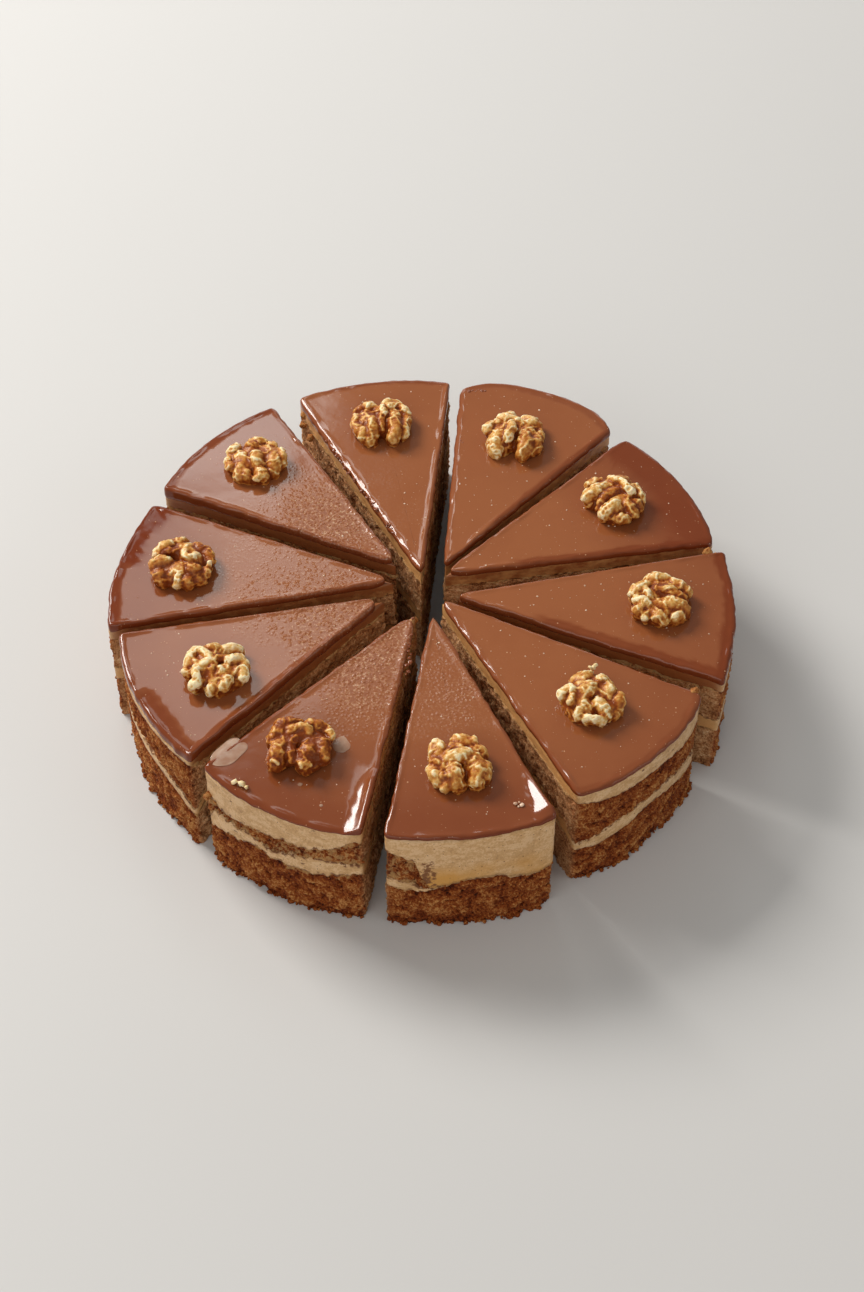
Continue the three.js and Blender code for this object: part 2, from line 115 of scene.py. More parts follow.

# Where the glaze rises or sinks towards its edge: the slice, the edge (its two cuts or its rim), the shares
# of that edge from and to, the width of the strip, the rise at the edge in millimetres, and how much darker
# the strip is painted (0 to 1), partly for thicker glaze and partly as painted shade.
LIPS = [
    (1, "high", 0.05, 1.0, 2.2, -0.8, 0.2),
    (1, "rim", 0.05, 0.8, 3.0, -0.5, 0.6),
    (2, "high", 0.05, 0.95, 2.0, -0.6, 0.2),
    (2, "rim", 0.0, 1.0, 5.0, -0.7, 0.4),
    (2, "low", 0.3, 1.0, 2.5, -0.3, 0.6),
    (3, "low", 0.3, 1.0, 3.0, -0.5, 0.7),
    (3, "rim", 0.0, 1.0, 16.0, -0.5, 0.55),
    (3, "rim", 0.0, 1.0, 3.0, -0.3, 0.5),
    (4, "low", 0.35, 1.0, 5.0, -0.9, 0.7),
    (4, "rim", 0.0, 1.0, 5.0, -0.4, 0.8),
    (5, "low", 0.1, 0.9, 1.6, -0.4, 0.2),
    (5, "rim", 0.0, 1.0, 3.0, -0.3, 0.3),
    (6, "high", 0.85, 0.97, 6.5, 2.75, 0.0),
    (7, "high", 0.78, 1.0, 6.2, 2.6, 0.0),
    (7, "rim", 0.0, 0.9, 2.0, -0.3, 0.3),
    (8, "high", 0.3, 1.0, 3.0, 0.7, 0.5),
    (8, "rim", 0.5, 1.0, 7.0, -0.8, 0.6),
    (9, "rim", 0.0, 0.5, 10.0, -0.7, 1.0),
    (9, "rim", 0.45, 1.0, 5.0, -0.4, 0.8),
    (10, "rim", 0.0, 1.0, 4.0, -0.5, 0.7),
]

# A lip that rises grows towards the rim. Its size where it starts, as a share, and how much it is curved
# there: 1 is an even slope, and 2 or more is a narrow fold.
RISING_LIPS = {6: (0.4, 1.1), 7: (1.0, 2.2)}
# Over its last stretch, in millimetres, it is level again.
LEVEL_EDGE = 1.2
# Past its ends a lip fades out over this share of the edge.
LIP_FADE = 0.06

# Where the layers meet at the rims of four slices, at even places from the first cut to the second.
RIM_HEIGHTS = {
    5: dict(lower_sponge=[21, 21, 22.5, 25, 27.5, 25.5, 24, 20.5, 18.5],
            filling=[23, 26, 29, 30.5, 31, 30.5, 29.5, 26.5, 21.5],
            upper_sponge=[50, 48, 47, 47, 47, 46, 44.5, 44, 43]),
    6: dict(lower_sponge=[25, 24, 23.5, 23, 22.7, 25, 27.5, 28.5, 29.5, 29.5, 29.5, 28, 26, 25, 24.5,
                          25, 26],
            filling=[28.5, 28, 27, 25, 23.3, 25.6, 28, 29, 30, 30, 30, 28.6, 26.6, 25.6, 25.1, 25.6,
                     26.6],
            upper_sponge=[47.8, 46.5, 45, 41, 24, 26.2, 28.6, 29.6, 30.6, 30.6, 30.6, 29.2, 27.2, 26.2,
                          25.7, 26.2, 27.2]),
    7: dict(lower_sponge=[21.5, 24, 26.5, 28.7, 26, 25.6, 25.5, 28, 30],
            filling=[27, 32.5, 32.3, 32, 29, 32, 34.2, 34, 34.7],
            upper_sponge=[40.8, 37.5, 38, 39.2, 39.6, 39.6, 41, 45, 51]),
    8: dict(lower_sponge=[24, 25, 26, 27, 28, 28, 27, 24, 18],
            filling=[27, 28, 29, 30, 31, 31, 30, 27, 21],
            upper_sponge=[47, 47, 48, 48.5, 49, 49.5, 50, 50, 50]),
}


# ---------------------------------------------------------------- small helpers
def mix(a, b, share):
    return a + (b - a) * share


def random_stream(seed):
    """A repeatable stream of numbers from 0 to 1, each worked out from the one before."""
    largest = 2 ** 31 - 1
    state = seed
    while True:
        state = state * 16807 % largest
        yield state / largest


def between(stream, low, high):
    return mix(low, high, next(stream))


def direction(degrees):
    angle = np.radians(degrees)
    return np.stack([np.cos(angle), np.sin(angle)], axis=-1)


def bumps(points, size, seed):
    """Smooth noise from -1 to 1 at points in millimetres, whose bumps are about size across. Each pattern
    has a seed of its own."""
    shift = Vector((7.3, 3.1, 5.7)) * seed
    return np.array([noise.noise(Vector(p) / size + shift) for p in points])


def rugged(points, size, seed):
    """Rough noise, about -1 to 1, with bumps about size across and finer ones on them."""
    shift = Vector((2.9, 6.1, 8.3)) * seed
    return np.array([noise.fractal(Vector(p) / size + shift, 0.7, 2.1, 3) for p in points])


def smooth_round(values, times):
    """Runs values round a closed outline softly into their neighbours."""
    for _ in range(times):
        values = (np.roll(values, 1, 0) + 2 * values + np.roll(values, -1, 0)) / 4
    return values


def deselect():
    bpy.ops.object.select_all(action="DESELECT")


def pick(kind, test):
    """Selects the edges or faces of the piece in edit mode that pass a test, and no others."""
    bpy.ops.mesh.select_mode(type=kind)
    bpy.ops.mesh.select_all(action="DESELECT")
    mesh = bpy.context.object.data
    form = bmesh.from_edit_mesh(mesh)
    for part in form.edges if kind == "EDGE" else form.faces:
        if test(part):
            part.select_set(True)
    form.select_flush_mode()
    bmesh.update_edit_mesh(mesh)


def read_vertices(mesh, kind):
    """The place ("co") or the normal of each vertex."""
    values = np.empty(3 * len(mesh.vertices))
    mesh.vertices.foreach_get(kind, values)
    return values.reshape(-1, 3)


def places_of(mesh):
    return read_vertices(mesh, "co")


def place_all(mesh, places):
    mesh.vertices.foreach_set("co", np.asarray(places, float).ravel())
    mesh.update()


def note(mesh, name, values):
    """Keeps one number for each vertex, for the material to read."""
    attribute = mesh.attributes.get(name) or mesh.attributes.new(name, "FLOAT", "POINT")
    attribute.data.foreach_set("value", np.asarray(values, np.float32))


def add_object(name, data):
    made = bpy.data.objects.new(name, data)
    bpy.context.scene.collection.objects.link(made)
    return made


def take_mesh():
    """Keeps the active object's mesh, to make copies of, and removes the object."""
    made = bpy.context.object
    mesh = made.data
    bpy.data.objects.remove(made)
    return mesh


def set_down(part, place, sizes, turns):
    """Puts a part at a place in millimetres, scales and turns it, and selects it."""
    part.location = Vector(place) * MM
    part.scale = sizes
    part.rotation_euler = turns
    part.select_set(True)


def join_selected(name, last):
    """Makes the selected parts into one piece with its place in its mesh. last is one of them."""
    bpy.context.view_layer.objects.active = last
    bpy.ops.object.join()
    made = bpy.context.object
    made.name = name
    bpy.ops.object.transform_apply(location=True, rotation=True, scale=True)
    return made


def finish_piece(piece, material, node=None):
    """Gives a piece its material and smooth shading, hangs it on the root body, and hides the solid that it
    stands for.
    """
    piece.data.materials.clear()
    piece.data.materials.append(material)
    piece.data.shade_smooth()
    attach(piece, "root")
    if node:
        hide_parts(node)
    return piece


# ---------------------------------------------------------------- materials
def linear(code):
    """An sRGB hex colour as the linear colour that shaders take."""
    values = [int(code[i:i + 2], 16) / 255 for i in (1, 3, 5)]
    return (*(v / 12.92 if v <= 0.04045 else ((v + 0.055) / 1.055) ** 2.4 for v in values), 1)


def per_size(millimetres):
    """The texture scale that makes a pattern this coarse on Object coordinates."""
    return 1000 / millimetres


def set_inputs(tree, node, inputs):
    """Sets a node's inputs. Each is given a value, or an output that is linked to it."""
    for name, value in inputs.items():
        if isinstance(value, bpy.types.NodeSocket):
            tree.links.new(value, node.inputs[name])
        else:
            node.inputs[name].default_value = value


def add_node(tree, kind, inputs=None, stops=None, **settings):
    """Adds a shader node with its settings and inputs, and the stops of a colour ramp."""
    made = tree.nodes.new("ShaderNode" + kind)
    for name, value in settings.items():
        setattr(made, name, value)
    set_inputs(tree, made, inputs or {})
    if stops:
        elements = made.color_ramp.elements
        while len(elements) < len(stops):
            elements.new(0.5)
        for element, (position, code) in zip(elements, stops):
            element.position = position
            element.color = linear(code)
    return made


# The sockets of a Mix node that are for colours: the two that go in and the one that comes out.
A, B, MIXED = 6, 7, 2


def new_material(name):
    """A material, its tree and shader, and the places on its object for patterns to follow."""
    material = bpy.data.materials.new(name)
    material.use_nodes = True
    tree = material.node_tree
    at = add_node(tree, "TexCoord").outputs["Object"]
    return material, tree, tree.nodes["Principled BSDF"], at


def add_pores(tree, at, spacing, fewest, widest):
    """Round pores of many sizes: 1 inside a pore and 0 outside. The higher fewest is, from 0 to 1, the
    fewer there are. widest is the largest one's radius, as a share of the spacing."""
    cells = add_node(tree, "TexVoronoi", {"Vector": at, "Scale": per_size(spacing)})
    cell = add_node(tree, "SeparateColor", {"Color": cells.outputs["Color"]})
    size = add_node(tree, "MapRange", {
        "Value": cell.outputs["Red"], "From Min": fewest, "To Max": widest})
    inside = add_node(tree, "Math", {
        0: cells.outputs["Distance"], 1: size.outputs["Result"]}, operation="LESS_THAN")
    return inside.outputs[0]


def sponge_material():
    """Coffee sponge. The baked rim is a coarse orange-brown, and the crumb of the cuts is paler, partly as
    painted light for the shaded gaps between the slices. Both are matt, with painted shade in the hollows
    and gaps between their grains."""
    material, tree, shader, at = new_material("baked_coffee_sponge")
    rim, crumb, creamy = (add_node(tree, "Attribute", attribute_name=name).outputs["Fac"]
                          for name in ("rim", "crumb", "creamy"))
    patches = add_node(tree, "TexNoise", {"Vector": at, "Scale": per_size(7), "Detail": 3})
    grain = add_node(tree, "TexNoise", {
        "Vector": at, "Scale": per_size(0.8), "Detail": 4, "Roughness": 0.75})
    grains = add_node(tree, "TexVoronoi", {"Vector": at, "Scale": per_size(1.4)})
    # Crumb height, grain, patches and gaps add up to the tone, from dark hollows to pale crumbs. The dark
    # of
    #     hollows and gaps and the pale of crumbs that stand out are painted shade and light.
    tone = -0.66
    for part, weight in ((crumb, 0.44), (grain.outputs["Fac"], 1.5), (patches.outputs["Fac"], 0.55),
                         (grains.outputs["Distance"], -0.26)):
        tone = add_node(tree, "Math", {0: part, 1: weight, 2: tone}, operation="MULTIPLY_ADD").outputs[0]
    baked = add_node(tree, "ValToRGB", {"Fac": tone}, stops=[
        (0.08, "#300f04"), (0.32, "#712e0d"), (0.56, "#975020"), (0.86, "#ca9054")])
    # The cut crumb is painted pale, partly as painted light for the shaded gaps between the slices.
    cut = add_node(tree, "ValToRGB", {"Fac": tone}, stops=[
        (0.08, "#5c3218"), (0.34, "#ac7448"), (0.58, "#d29e6e"), (0.88, "#f2d2a6")])
    colour = add_node(tree, "Mix", {
        "Factor": rim, A: cut.outputs["Color"], B: baked.outputs["Color"]}, data_type="RGBA")
    # Next to the cream, torn crumb is smeared with it.
    patch = add_node(tree, "TexNoise", {
        "Vector": at, "Scale": per_size(3.2), "Detail": 3, "Roughness": 0.6})
    smeared = add_node(tree, "Math", {0: patch.outputs["Fac"], 1: creamy}, operation="ADD")
    smeared = add_node(tree, "MapRange", {
        "Value": smeared.outputs[0], "From Min": 0.98, "From Max": 1.12, "To Max": 0.85})
    colour = add_node(tree, "Mix", {
        "Factor": smeared.outputs["Result"], A: colour.outputs[MIXED], B: linear("#b58a58")},
        data_type="RGBA")
    relief = add_node(tree, "Math", {
        0: grains.outputs["Distance"], 1: -0.7, 2: grain.outputs["Fac"]}, operation="MULTIPLY_ADD")
    bump = add_node(tree, "Bump", {"Strength": 0.9, "Distance": 0.6 * MM, "Height": relief.outputs[0]})
    set_inputs(tree, shader, {
        "Base Color": colour.outputs[MIXED], "Normal": bump.outputs["Normal"], "Roughness": 0.75,
        "Specular IOR Level": 0.12})
    return material


def cream_material():
    """Whipped coffee buttercream. Beige and mottled, with tan smears where crumb coloured it, small open
    bubbles painted dark as painted shade, and a soft fatty sheen."""
    material, tree, shader, at = new_material("coffee_buttercream")
    rim, smear, drag, crumbed = (
        add_node(tree, "Attribute", attribute_name=name).outputs["Fac"]
        for name in ("rim", "smear", "dragged", "crumbed"))
    # The knife ran along the wall, so the mottling is a little wider than it is high.
    wide = add_node(tree, "Mapping", {"Vector": at, "Scale": (1, 1, 1.7)})
    mottle = add_node(tree, "TexNoise", {
        "Vector": wide.outputs["Vector"], "Scale": per_size(6), "Detail": 5, "Roughness": 0.62})
    grain = add_node(tree, "TexNoise", {
        "Vector": at, "Scale": per_size(0.9), "Detail": 3, "Roughness": 0.75})
    speckle = add_node(tree, "Math", {
        0: grain.outputs["Fac"], 1: 0.9, 2: mottle.outputs["Fac"]}, operation="MULTIPLY_ADD")
    tint = add_node(tree, "ValToRGB", {"Fac": speckle.outputs[0]}, stops=[
        (0.6, "#a97e4e"), (0.86, "#c89c68"), (1.0, "#d0a572"), (1.25, "#dcb587")])
    tan = add_node(tree, "Mix", {
        "Factor": smear, A: tint.outputs["Color"], B: linear("#cf9648")}, data_type="RGBA")
    # On the cut faces the knife has dragged sponge and brown glaze over the cream.
    streaks = add_node(tree, "Math", {0: mottle.outputs["Fac"], 1: drag}, operation="ADD")
    streaks = add_node(tree, "MapRange", {
        "Value": streaks.outputs[0], "From Min": 0.6, "From Max": 1.1})
    cut = add_node(tree, "Mix", {
        "Factor": streaks.outputs["Result"], A: linear("#d69f62"), B: linear("#8e5128")}, data_type="RGBA")
    colour = add_node(tree, "Mix", {
        "Factor": rim, A: cut.outputs[MIXED], B: tan.outputs[MIXED]}, data_type="RGBA").outputs[MIXED]
    # Crumbs are stuck in it next to the sponge.
    bits = add_node(tree, "TexNoise", {
        "Vector": at, "Scale": per_size(2.6), "Detail": 4, "Roughness": 0.65})
    stuck = add_node(tree, "Math", {0: bits.outputs["Fac"], 1: crumbed}, operation="ADD")
    stuck = add_node(tree, "MapRange", {"Value": stuck.outputs[0], "From Min": 1.02, "From Max": 1.12})
    # Open pores are painted dark brown: painted shade inside the bubbles.
    fine_pores = add_pores(tree, at, 1.2, 0.5, 0.22)
    broad_pores = add_pores(tree, wide.outputs["Vector"], 6.5, 0.5, 0.13)
    pores_painted_dark = add_node(tree, "Math", {0: fine_pores, 1: broad_pores}, operation="MAXIMUM")
    for share, code in ((stuck.outputs["Result"], "#7b4a22"), (pores_painted_dark.outputs[0], "#7a5028")):
        colour = add_node(tree, "Mix", {
            "Factor": share, A: colour, B: linear(code)}, data_type="RGBA").outputs[MIXED]
    relief = add_node(tree, "Math", {
        0: grain.outputs["Fac"], 1: 0.5, 2: mottle.outputs["Fac"]}, operation="MULTIPLY_ADD")
    relief = add_node(tree, "Math", {0: relief.outputs[0], 1: pores_painted_dark.outputs[0]}, operation="SUBTRACT")
    bump = add_node(tree, "Bump", {"Strength": 0.7, "Distance": 0.4 * MM, "Height": relief.outputs[0]})
    set_inputs(tree, shader, {
        "Base Color": colour, "Normal": bump.outputs["Normal"], "Roughness": 0.5, "IOR": 1.45})
    return material


def glaze_material():
    """Milk chocolate glaze, poured and set: glossy and smooth, with tiny pale bubbles of sugar. Towards
    the middle of the cake moisture has left a dull, grainy bloom on it. Its edges are painted darker,
    partly as painted shade, and away from the rim it is painted lighter, partly as painted light."""
    material, tree, shader, at = new_material("chocolate_glaze")
    bloom, haze_and_light, edge = (add_node(tree, "Attribute", attribute_name=name).outputs["Fac"]
                         for name in ("bloom", "haze_and_light", "edge"))
    clouds = add_node(tree, "TexNoise", {"Vector": at, "Scale": per_size(22), "Detail": 3})
    grain = add_node(tree, "TexNoise", {
        "Vector": at, "Scale": per_size(1.1), "Detail": 3, "Roughness": 0.65})
    # Bloom thins out in a ragged way at its edge.
    ragged = add_node(tree, "Math", {0: clouds.outputs["Fac"], 1: 0.5}, operation="SUBTRACT")
    spread = add_node(tree, "Math", {
        0: ragged.outputs[0], 1: 3.0, 2: bloom}, operation="MULTIPLY_ADD", use_clamp=True)
    dull = add_node(tree, "Math", {0: spread.outputs[0], 1: bloom}, operation="MULTIPLY")
    # Away from the rim the glaze is painted lighter: partly a faint haze, partly painted light where the
    # top
    #     catches more light.
    haze_and_light_tone = add_node(tree, "Math", {0: ragged.outputs[0], 1: 0.7, 2: haze_and_light}, operation="MULTIPLY_ADD")
    tint = add_node(tree, "ValToRGB", {"Fac": haze_and_light_tone.outputs[0]}, stops=[
        (0.0, "#804223"), (1.0, "#965833")])
    frosted = add_node(tree, "ValToRGB", {"Fac": grain.outputs["Fac"]}, stops=[
        (0.4, "#8c4f2c"), (0.56, "#9d623c"), (0.74, "#d8b493")])
    colour = add_node(tree, "Mix", {
        "Factor": dull.outputs[0], A: tint.outputs["Color"], B: frosted.outputs["Color"]},
        data_type="RGBA").outputs[MIXED]
    # The glaze is thicker and darker where it rounds over an edge and along the lips' darker strips; this
    #     dark is partly painted shade.
    thick_and_shaded = add_node(tree, "Math", {0: edge, 1: 0.86}, operation="MULTIPLY")
    dots = add_pores(tree, at, 2.6, 0.64, 0.13)
    fine_dots = add_pores(tree, at, 1.3, 0.68, 0.17)
    inside = add_node(tree, "Math", {0: dots, 1: fine_dots}, operation="MAXIMUM")
    for share, code in ((thick_and_shaded.outputs[0], "#6c2a10"), (inside.outputs[0], "#c6936d")):
        colour = add_node(tree, "Mix", {
            "Factor": share, A: colour, B: linear(code)}, data_type="RGBA").outputs[MIXED]
    # The gloss is lost where the bloom is, and beads of sugar stand up there.
    rough = add_node(tree, "MapRange", {"Value": dull.outputs[0], "To Min": 0.1, "To Max": 0.26})
    beads = add_node(tree, "TexVoronoi", {"Vector": at, "Scale": per_size(1.7)})
    bead = add_node(tree, "MapRange", {
        "Value": beads.outputs["Distance"], "From Min": 0.5, "From Max": 0.05})
    sanded = add_node(tree, "Math", {
        0: bead.outputs["Result"], 1: dull.outputs[0]}, operation="MULTIPLY")
    relief = add_node(tree, "Math", {
        0: inside.outputs[0], 1: 0.6, 2: sanded.outputs[0]}, operation="MULTIPLY_ADD")
    # Broad, very shallow dimples keep the set surface from being a mirror.
    dimples = add_node(tree, "TexNoise", {"Vector": at, "Scale": per_size(8), "Detail": 2})
    dimpled = add_node(tree, "Bump", {
        "Strength": 0.5, "Distance": 0.09 * MM, "Height": dimples.outputs["Fac"]})
    bump = add_node(tree, "Bump", {
        "Strength": 0.75, "Distance": 0.3 * MM, "Height": relief.outputs[0],
        "Normal": dimpled.outputs["Normal"]})
    # The thick edge is duller than the poured top.
    gloss = add_node(tree, "MapRange", {"Value": edge, "To Min": 0.5, "To Max": 0.25})
    set_inputs(tree, shader, {
        "Base Color": colour, "Normal": bump.outputs["Normal"],
        "Roughness": rough.outputs["Result"], "Specular IOR Level": gloss.outputs["Result"], "IOR": 1.5})
    return material


def walnut_material():
    """Walnut kernel. The papery skin is amber and dark red-brown in the folds. It is rubbed off the
    tops of the lobes, down to cream-coloured meat. Part of the dark in the folds and on the low flanks is
    painted shade, and part of the paleness of the tops is painted light."""
    material, tree, shader, at = new_material("walnut_kernel")
    worn_and_shaded = add_node(tree, "Attribute", attribute_name="worn_and_shaded").outputs["Fac"]
    blotches = add_node(tree, "TexNoise", {
        "Vector": at, "Scale": per_size(4), "Detail": 4, "Roughness": 0.6})
    veins = add_node(tree, "TexNoise", {
        "Vector": at, "Scale": per_size(0.9), "Detail": 3, "Distortion": 0.6})
    tone = -0.53
    for part, weight in ((worn_and_shaded, 1), (blotches.outputs["Fac"], 0.7), (veins.outputs["Fac"], 0.3)):
        tone = add_node(tree, "Math", {0: part, 1: weight, 2: tone}, operation="MULTIPLY_ADD").outputs[0]
    colour = add_node(tree, "ValToRGB", {"Fac": tone}, stops=[
        (0.0, "#7c3610"), (0.2, "#a4591d"), (0.4, "#c27f37"), (0.61, "#dcad64"), (0.86, "#f5e2b6")])
    bump = add_node(tree, "Bump", {
        "Strength": 0.45, "Distance": 0.3 * MM, "Height": veins.outputs["Fac"]})
    set_inputs(tree, shader, {
        "Base Color": colour.outputs["Color"], "Normal": bump.outputs["Normal"], "Roughness": 0.34,
        "Specular IOR Level": 0.32, "Specular Tint": linear("#ffead0"),
        "Subsurface Weight": 0.15, "Subsurface Radius": (2, 1, 0.4), "Subsurface Scale": 1 * MM})
    return material


def sugar_material():
    """Pale specks of sugar and dried bubbles on the glaze."""
    material, tree, shader, at = new_material("sugar_specks")
    tone = add_node(tree, "TexNoise", {"Vector": at, "Scale": per_size(5), "Detail": 1})
    colour = add_node(tree, "ValToRGB", {"Fac": tone.outputs["Fac"]}, stops=[
        (0.35, "#b07a55"), (0.65, "#ecd2b8")])
    set_inputs(tree, shader, {"Base Color": colour.outputs["Color"], "Roughness": 0.3})
    return material


def syrup_material():
    """Milky coffee syrup in shallow pools, through which the glaze shows."""
    material, tree, shader, at = new_material("coffee_syrup")
    tone = add_node(tree, "TexNoise", {"Vector": at, "Scale": per_size(4), "Detail": 2})
    colour = add_node(tree, "ValToRGB", {"Fac": tone.outputs["Fac"]}, stops=[
        (0.35, "#c9a085"), (0.65, "#ddbda4")])
    set_inputs(tree, shader, {
        "Base Color": colour.outputs["Color"], "Alpha": 0.5, "Roughness": 0.06, "IOR": 1.4})
    return material


def floor_material():
    """A plain pale painted board."""
    material, tree, shader, _ = new_material("pale_board")
    set_inputs(tree, shader, {"Base Color": linear("#cfcecc"), "Roughness": 0.6})
    return material


# ---------------------------------------------------------------- the plan of a slice
def reach_at(piece, place):
    """The distance from the slice's point to its rim."""
    return mix(*piece["reach"], place) + piece["swell"] * (1 - (2 * place - 1) ** 4)


class Plan:
    """A slice's outline from above, in columns that run from its point along the first cut, round the
    rim and back along the second cut."""

    def __init__(self, piece, setback=0, rounding=6):
        self.piece = piece
        along_cut = np.linspace(0, 1, CUT_COLUMNS, endpoint=False)
        round_rim = np.linspace(0, 1, RIM_COLUMNS)
        start = NOSE_CUT + setback
        first = mix(start, piece["reach"][0], along_cut)
        second = mix(piece["reach"][1], start, along_cut + 1 / CUT_COLUMNS)
        nose_place = np.linspace(1, 0, NOSE_COLUMNS + 2)[1:-1]
        nose = setback + mix(NOSE_TIP, NOSE_CUT, np.abs(2 * nose_place - 1) ** 1.5)
        self.place = np.concatenate([
            np.zeros(CUT_COLUMNS), round_rim, np.ones(CUT_COLUMNS), nose_place])
        distance = np.concatenate([first, reach_at(piece, round_rim), second, nose])
        from_rim = reach_at(piece, self.place) - distance
        aim = direction(mix(*piece["cuts"], self.place))
        self.at = smooth_round(np.array(piece["point"]) + aim * distance[:, None], rounding)
        ahead = smooth_round(np.roll(self.at, -1, 0) - np.roll(self.at, 1, 0), 3)
        ahead /= np.linalg.norm(ahead, axis=1)[:, None]
        self.out = np.stack([ahead[:, 1], -ahead[:, 0]], axis=-1)
        on_rim = from_rim < 0.01
        self.rim = smooth_round(on_rim.astype(float), 10)
        self.inward = np.clip(from_rim / RIM_BAND, 0, 1)
        halfway = direction(np.mean(piece["cuts"]))
        self.middle = np.array(piece["point"]) + halfway * np.mean(piece["reach"]) * MIDDLE_SHARE


def usual_height(piece, layer):
    heights = dict(plate=0, lower_sponge=LOWER_SPONGE_TOP, filling=FILLING_TOP,
                   upper_sponge=UPPER_SPONGE_TOP, top_cream=GLAZE_TOP - piece["glaze"])
    return heights[layer]


# How ragged the layers' edges are, in millimetres: as usual, and on two slices.
USUAL_TORN_EDGE = 0.55
TORN_EDGES = {6: 0.8, 7: 1.9}


def edge_heights(plan, number, layer):
    """How high a layer's top comes at each column of the walls."""
    usual = usual_height(plan.piece, layer)
    if layer == "plate":
        return np.zeros(COLUMNS)
    if layer == "top_cream":
        return usual - plan.piece["droop"] * (1 - plan.inward)
    own = RIM_HEIGHTS.get(number, {}).get(layer)
    # Where a layer steps up or down, the step's line is ragged too.
    outline = np.column_stack([plan.at, np.zeros(COLUMNS)])
    place = plan.place + 0.02 * bumps(outline, 6, number + 22) + 0.05 * bumps(outline, 2.4, number + 23)
    at_rim = np.interp(place, np.linspace(0, 1, len(own)), own) if own else usual
    level = mix(at_rim, usual, plan.inward)
    # The sixth slice's layers are so thin under its cream that they wander together.
    spots = np.column_stack([plan.at, np.full(COLUMNS, LOWER_SPONGE_TOP if number == 6 else usual)])
    wander = 0.6 * bumps(spots, 17, number) + 0.5 * bumps(spots, 5.5, number + 20)
    torn = TORN_EDGES.get(number, USUAL_TORN_EDGE) * bumps(spots, 2.2, number + 21)
    return smooth_round(level, 4) + wander + torn


# ---------------------------------------------------------------- blanks
class Blank:
    """A drum with rows round its side and rings on its ends, whose vertices know their column, row
    and ring. Each layer of a slice is a copy of one, drawn out to the slice's form."""

    def __init__(self, rows, rings):
        self.rows, self.rings = rows, rings
        deselect()
        bpy.ops.mesh.primitive_cylinder_add(vertices=COLUMNS, radius=1, depth=2, end_fill_type="NGON")
        bpy.ops.object.mode_set(mode="EDIT")
        pick("EDGE", lambda edge: abs(edge.verts[0].co.z - edge.verts[1].co.z) > 1)
        bpy.ops.mesh.subdivide(number_cuts=rows - 1)
        pick("FACE", lambda face: abs(face.normal.z) > 0.5)
        for _ in range(rings):
            bpy.ops.mesh.inset(thickness=1 / (rings + 1))
        bpy.ops.mesh.poke()
        bpy.ops.object.mode_set(mode="OBJECT")
        self.mesh = take_mesh()
        at = places_of(self.mesh)
        angle = np.arctan2(at[:, 1], at[:, 0]) / (2 * math.pi)
        self.column = np.rint(angle * COLUMNS).astype(int) % COLUMNS
        self.row = np.rint((at[:, 2] + 1) / 2 * rows).astype(int)
        self.ring = np.rint((1 - np.hypot(at[:, 0], at[:, 1])) * (rings + 1)).astype(int)

    def copy(self, name):
        return add_object(name, self.mesh.copy())


def share_inwards(ring, shares):
    """How far towards the middle each ring of a cap lies."""
    return np.array([0, *shares, 1])[ring]


def shape_layer(blank, name, plan, low, high, out):
    """Draws a blank out to a layer between two heights. out(spots, share, rim) gives how far its walls
    stand out and how much higher they come."""
    piece = blank.copy(name)
    column, row = blank.column, blank.row
    share = row / blank.rows
    inwards = share_inwards(blank.ring, CAP_SHARES)
    height = mix(low[0][column], high[0][column], share)
    middle_height = mix(low[1], high[1], share)
    flat = plan.at[column]
    spots = np.column_stack([flat, height])
    stand_out, lift = out(spots, share, plan.rim[column])
    wall = flat + plan.out[column] * stand_out[:, None]
    at = mix(wall, plan.middle, inwards[:, None])
    z = mix(height + lift, middle_height, inwards)
    place_all(piece.data, np.column_stack([at, np.maximum(z, 0)]) * MM)
    note(piece.data, "rim", plan.rim[column])
    return piece, spots, stand_out


def sponge_wall(seed, foot):
    """Lumpy, open crumb that bulges past the glaze. Cut faces are a little flatter, and foot is True for
    the sponge that stands on the plate, whose lowest edge is ragged."""
    def out(spots, share, rim):
        rough = mix(0.85, 1, rim)
        lumps = bumps(spots, 10, seed) * 0.7
        torn = rugged(spots, 3.6, seed + 3) * 0.9
        crumbs = rugged(spots, 1.2, seed + 5) * 0.5
        holes = np.maximum(bumps(spots, 2.6, seed + 9) - 0.3, 0) * -2.6
        belly = rim * (0.15 - 0.6 * (2 * share - 1) ** 4)
        stand_out = belly + rough * (lumps + torn + crumbs + holes)
        if foot:
            frayed = np.maximum(1 - share * 3.5, 0) * rim
            stand_out += frayed * (1.4 * bumps(spots, 6, seed + 11) - 0.1)
        ragged = np.abs(2 * share - 1) ** 6 * (0.7 * bumps(spots, 2.2, seed + 13))
        return stand_out, ragged * np.where((share == 0) & foot, 0, 1)
    return out


def cream_wall(number, proud):
    """Smooth cream with shallow knife strokes. proud is how far it stands past the slice's outline."""
    def out(spots, _, rim):
        strokes = bumps(spots * np.array([1, 1, 2.5]), 8, number + 30) * 0.3
        dimples = np.maximum(bumps(spots, 2.3, number + 31) - 0.45, 0) * -0.9
        stand_out = mix(-0.25, proud, rim) + strokes * mix(0.6, 1, rim) + dimples
        return stand_out, np.zeros(len(spots))
    return out


# ---------------------------------------------------------------- the four layers under the glaze
# How far cream is smeared over the torn sponge, in millimetres: as usual, and on two slices. Then how pale
# the rim of the whole upper sponge is on two slices.
USUAL_TORN_DEPTH = 2.2
TORN_DEPTHS = {7: 6, 8: 3}
PALE_CRUMB = {6: 0.5, 7: 0.51}
# The creams reach this far into the sponges' ragged edges.
OVERLAP = 0.5


def crumb_light_and_shade(stand_out, rim):
    """Painted light and shade: crumbs that stand out are painted paler and hollows darker. 0.5 is the mean.
    """
    return np.clip(0.5 + (stand_out - np.median(stand_out)) / mix(2.6, 1.5, rim), 0, 1)


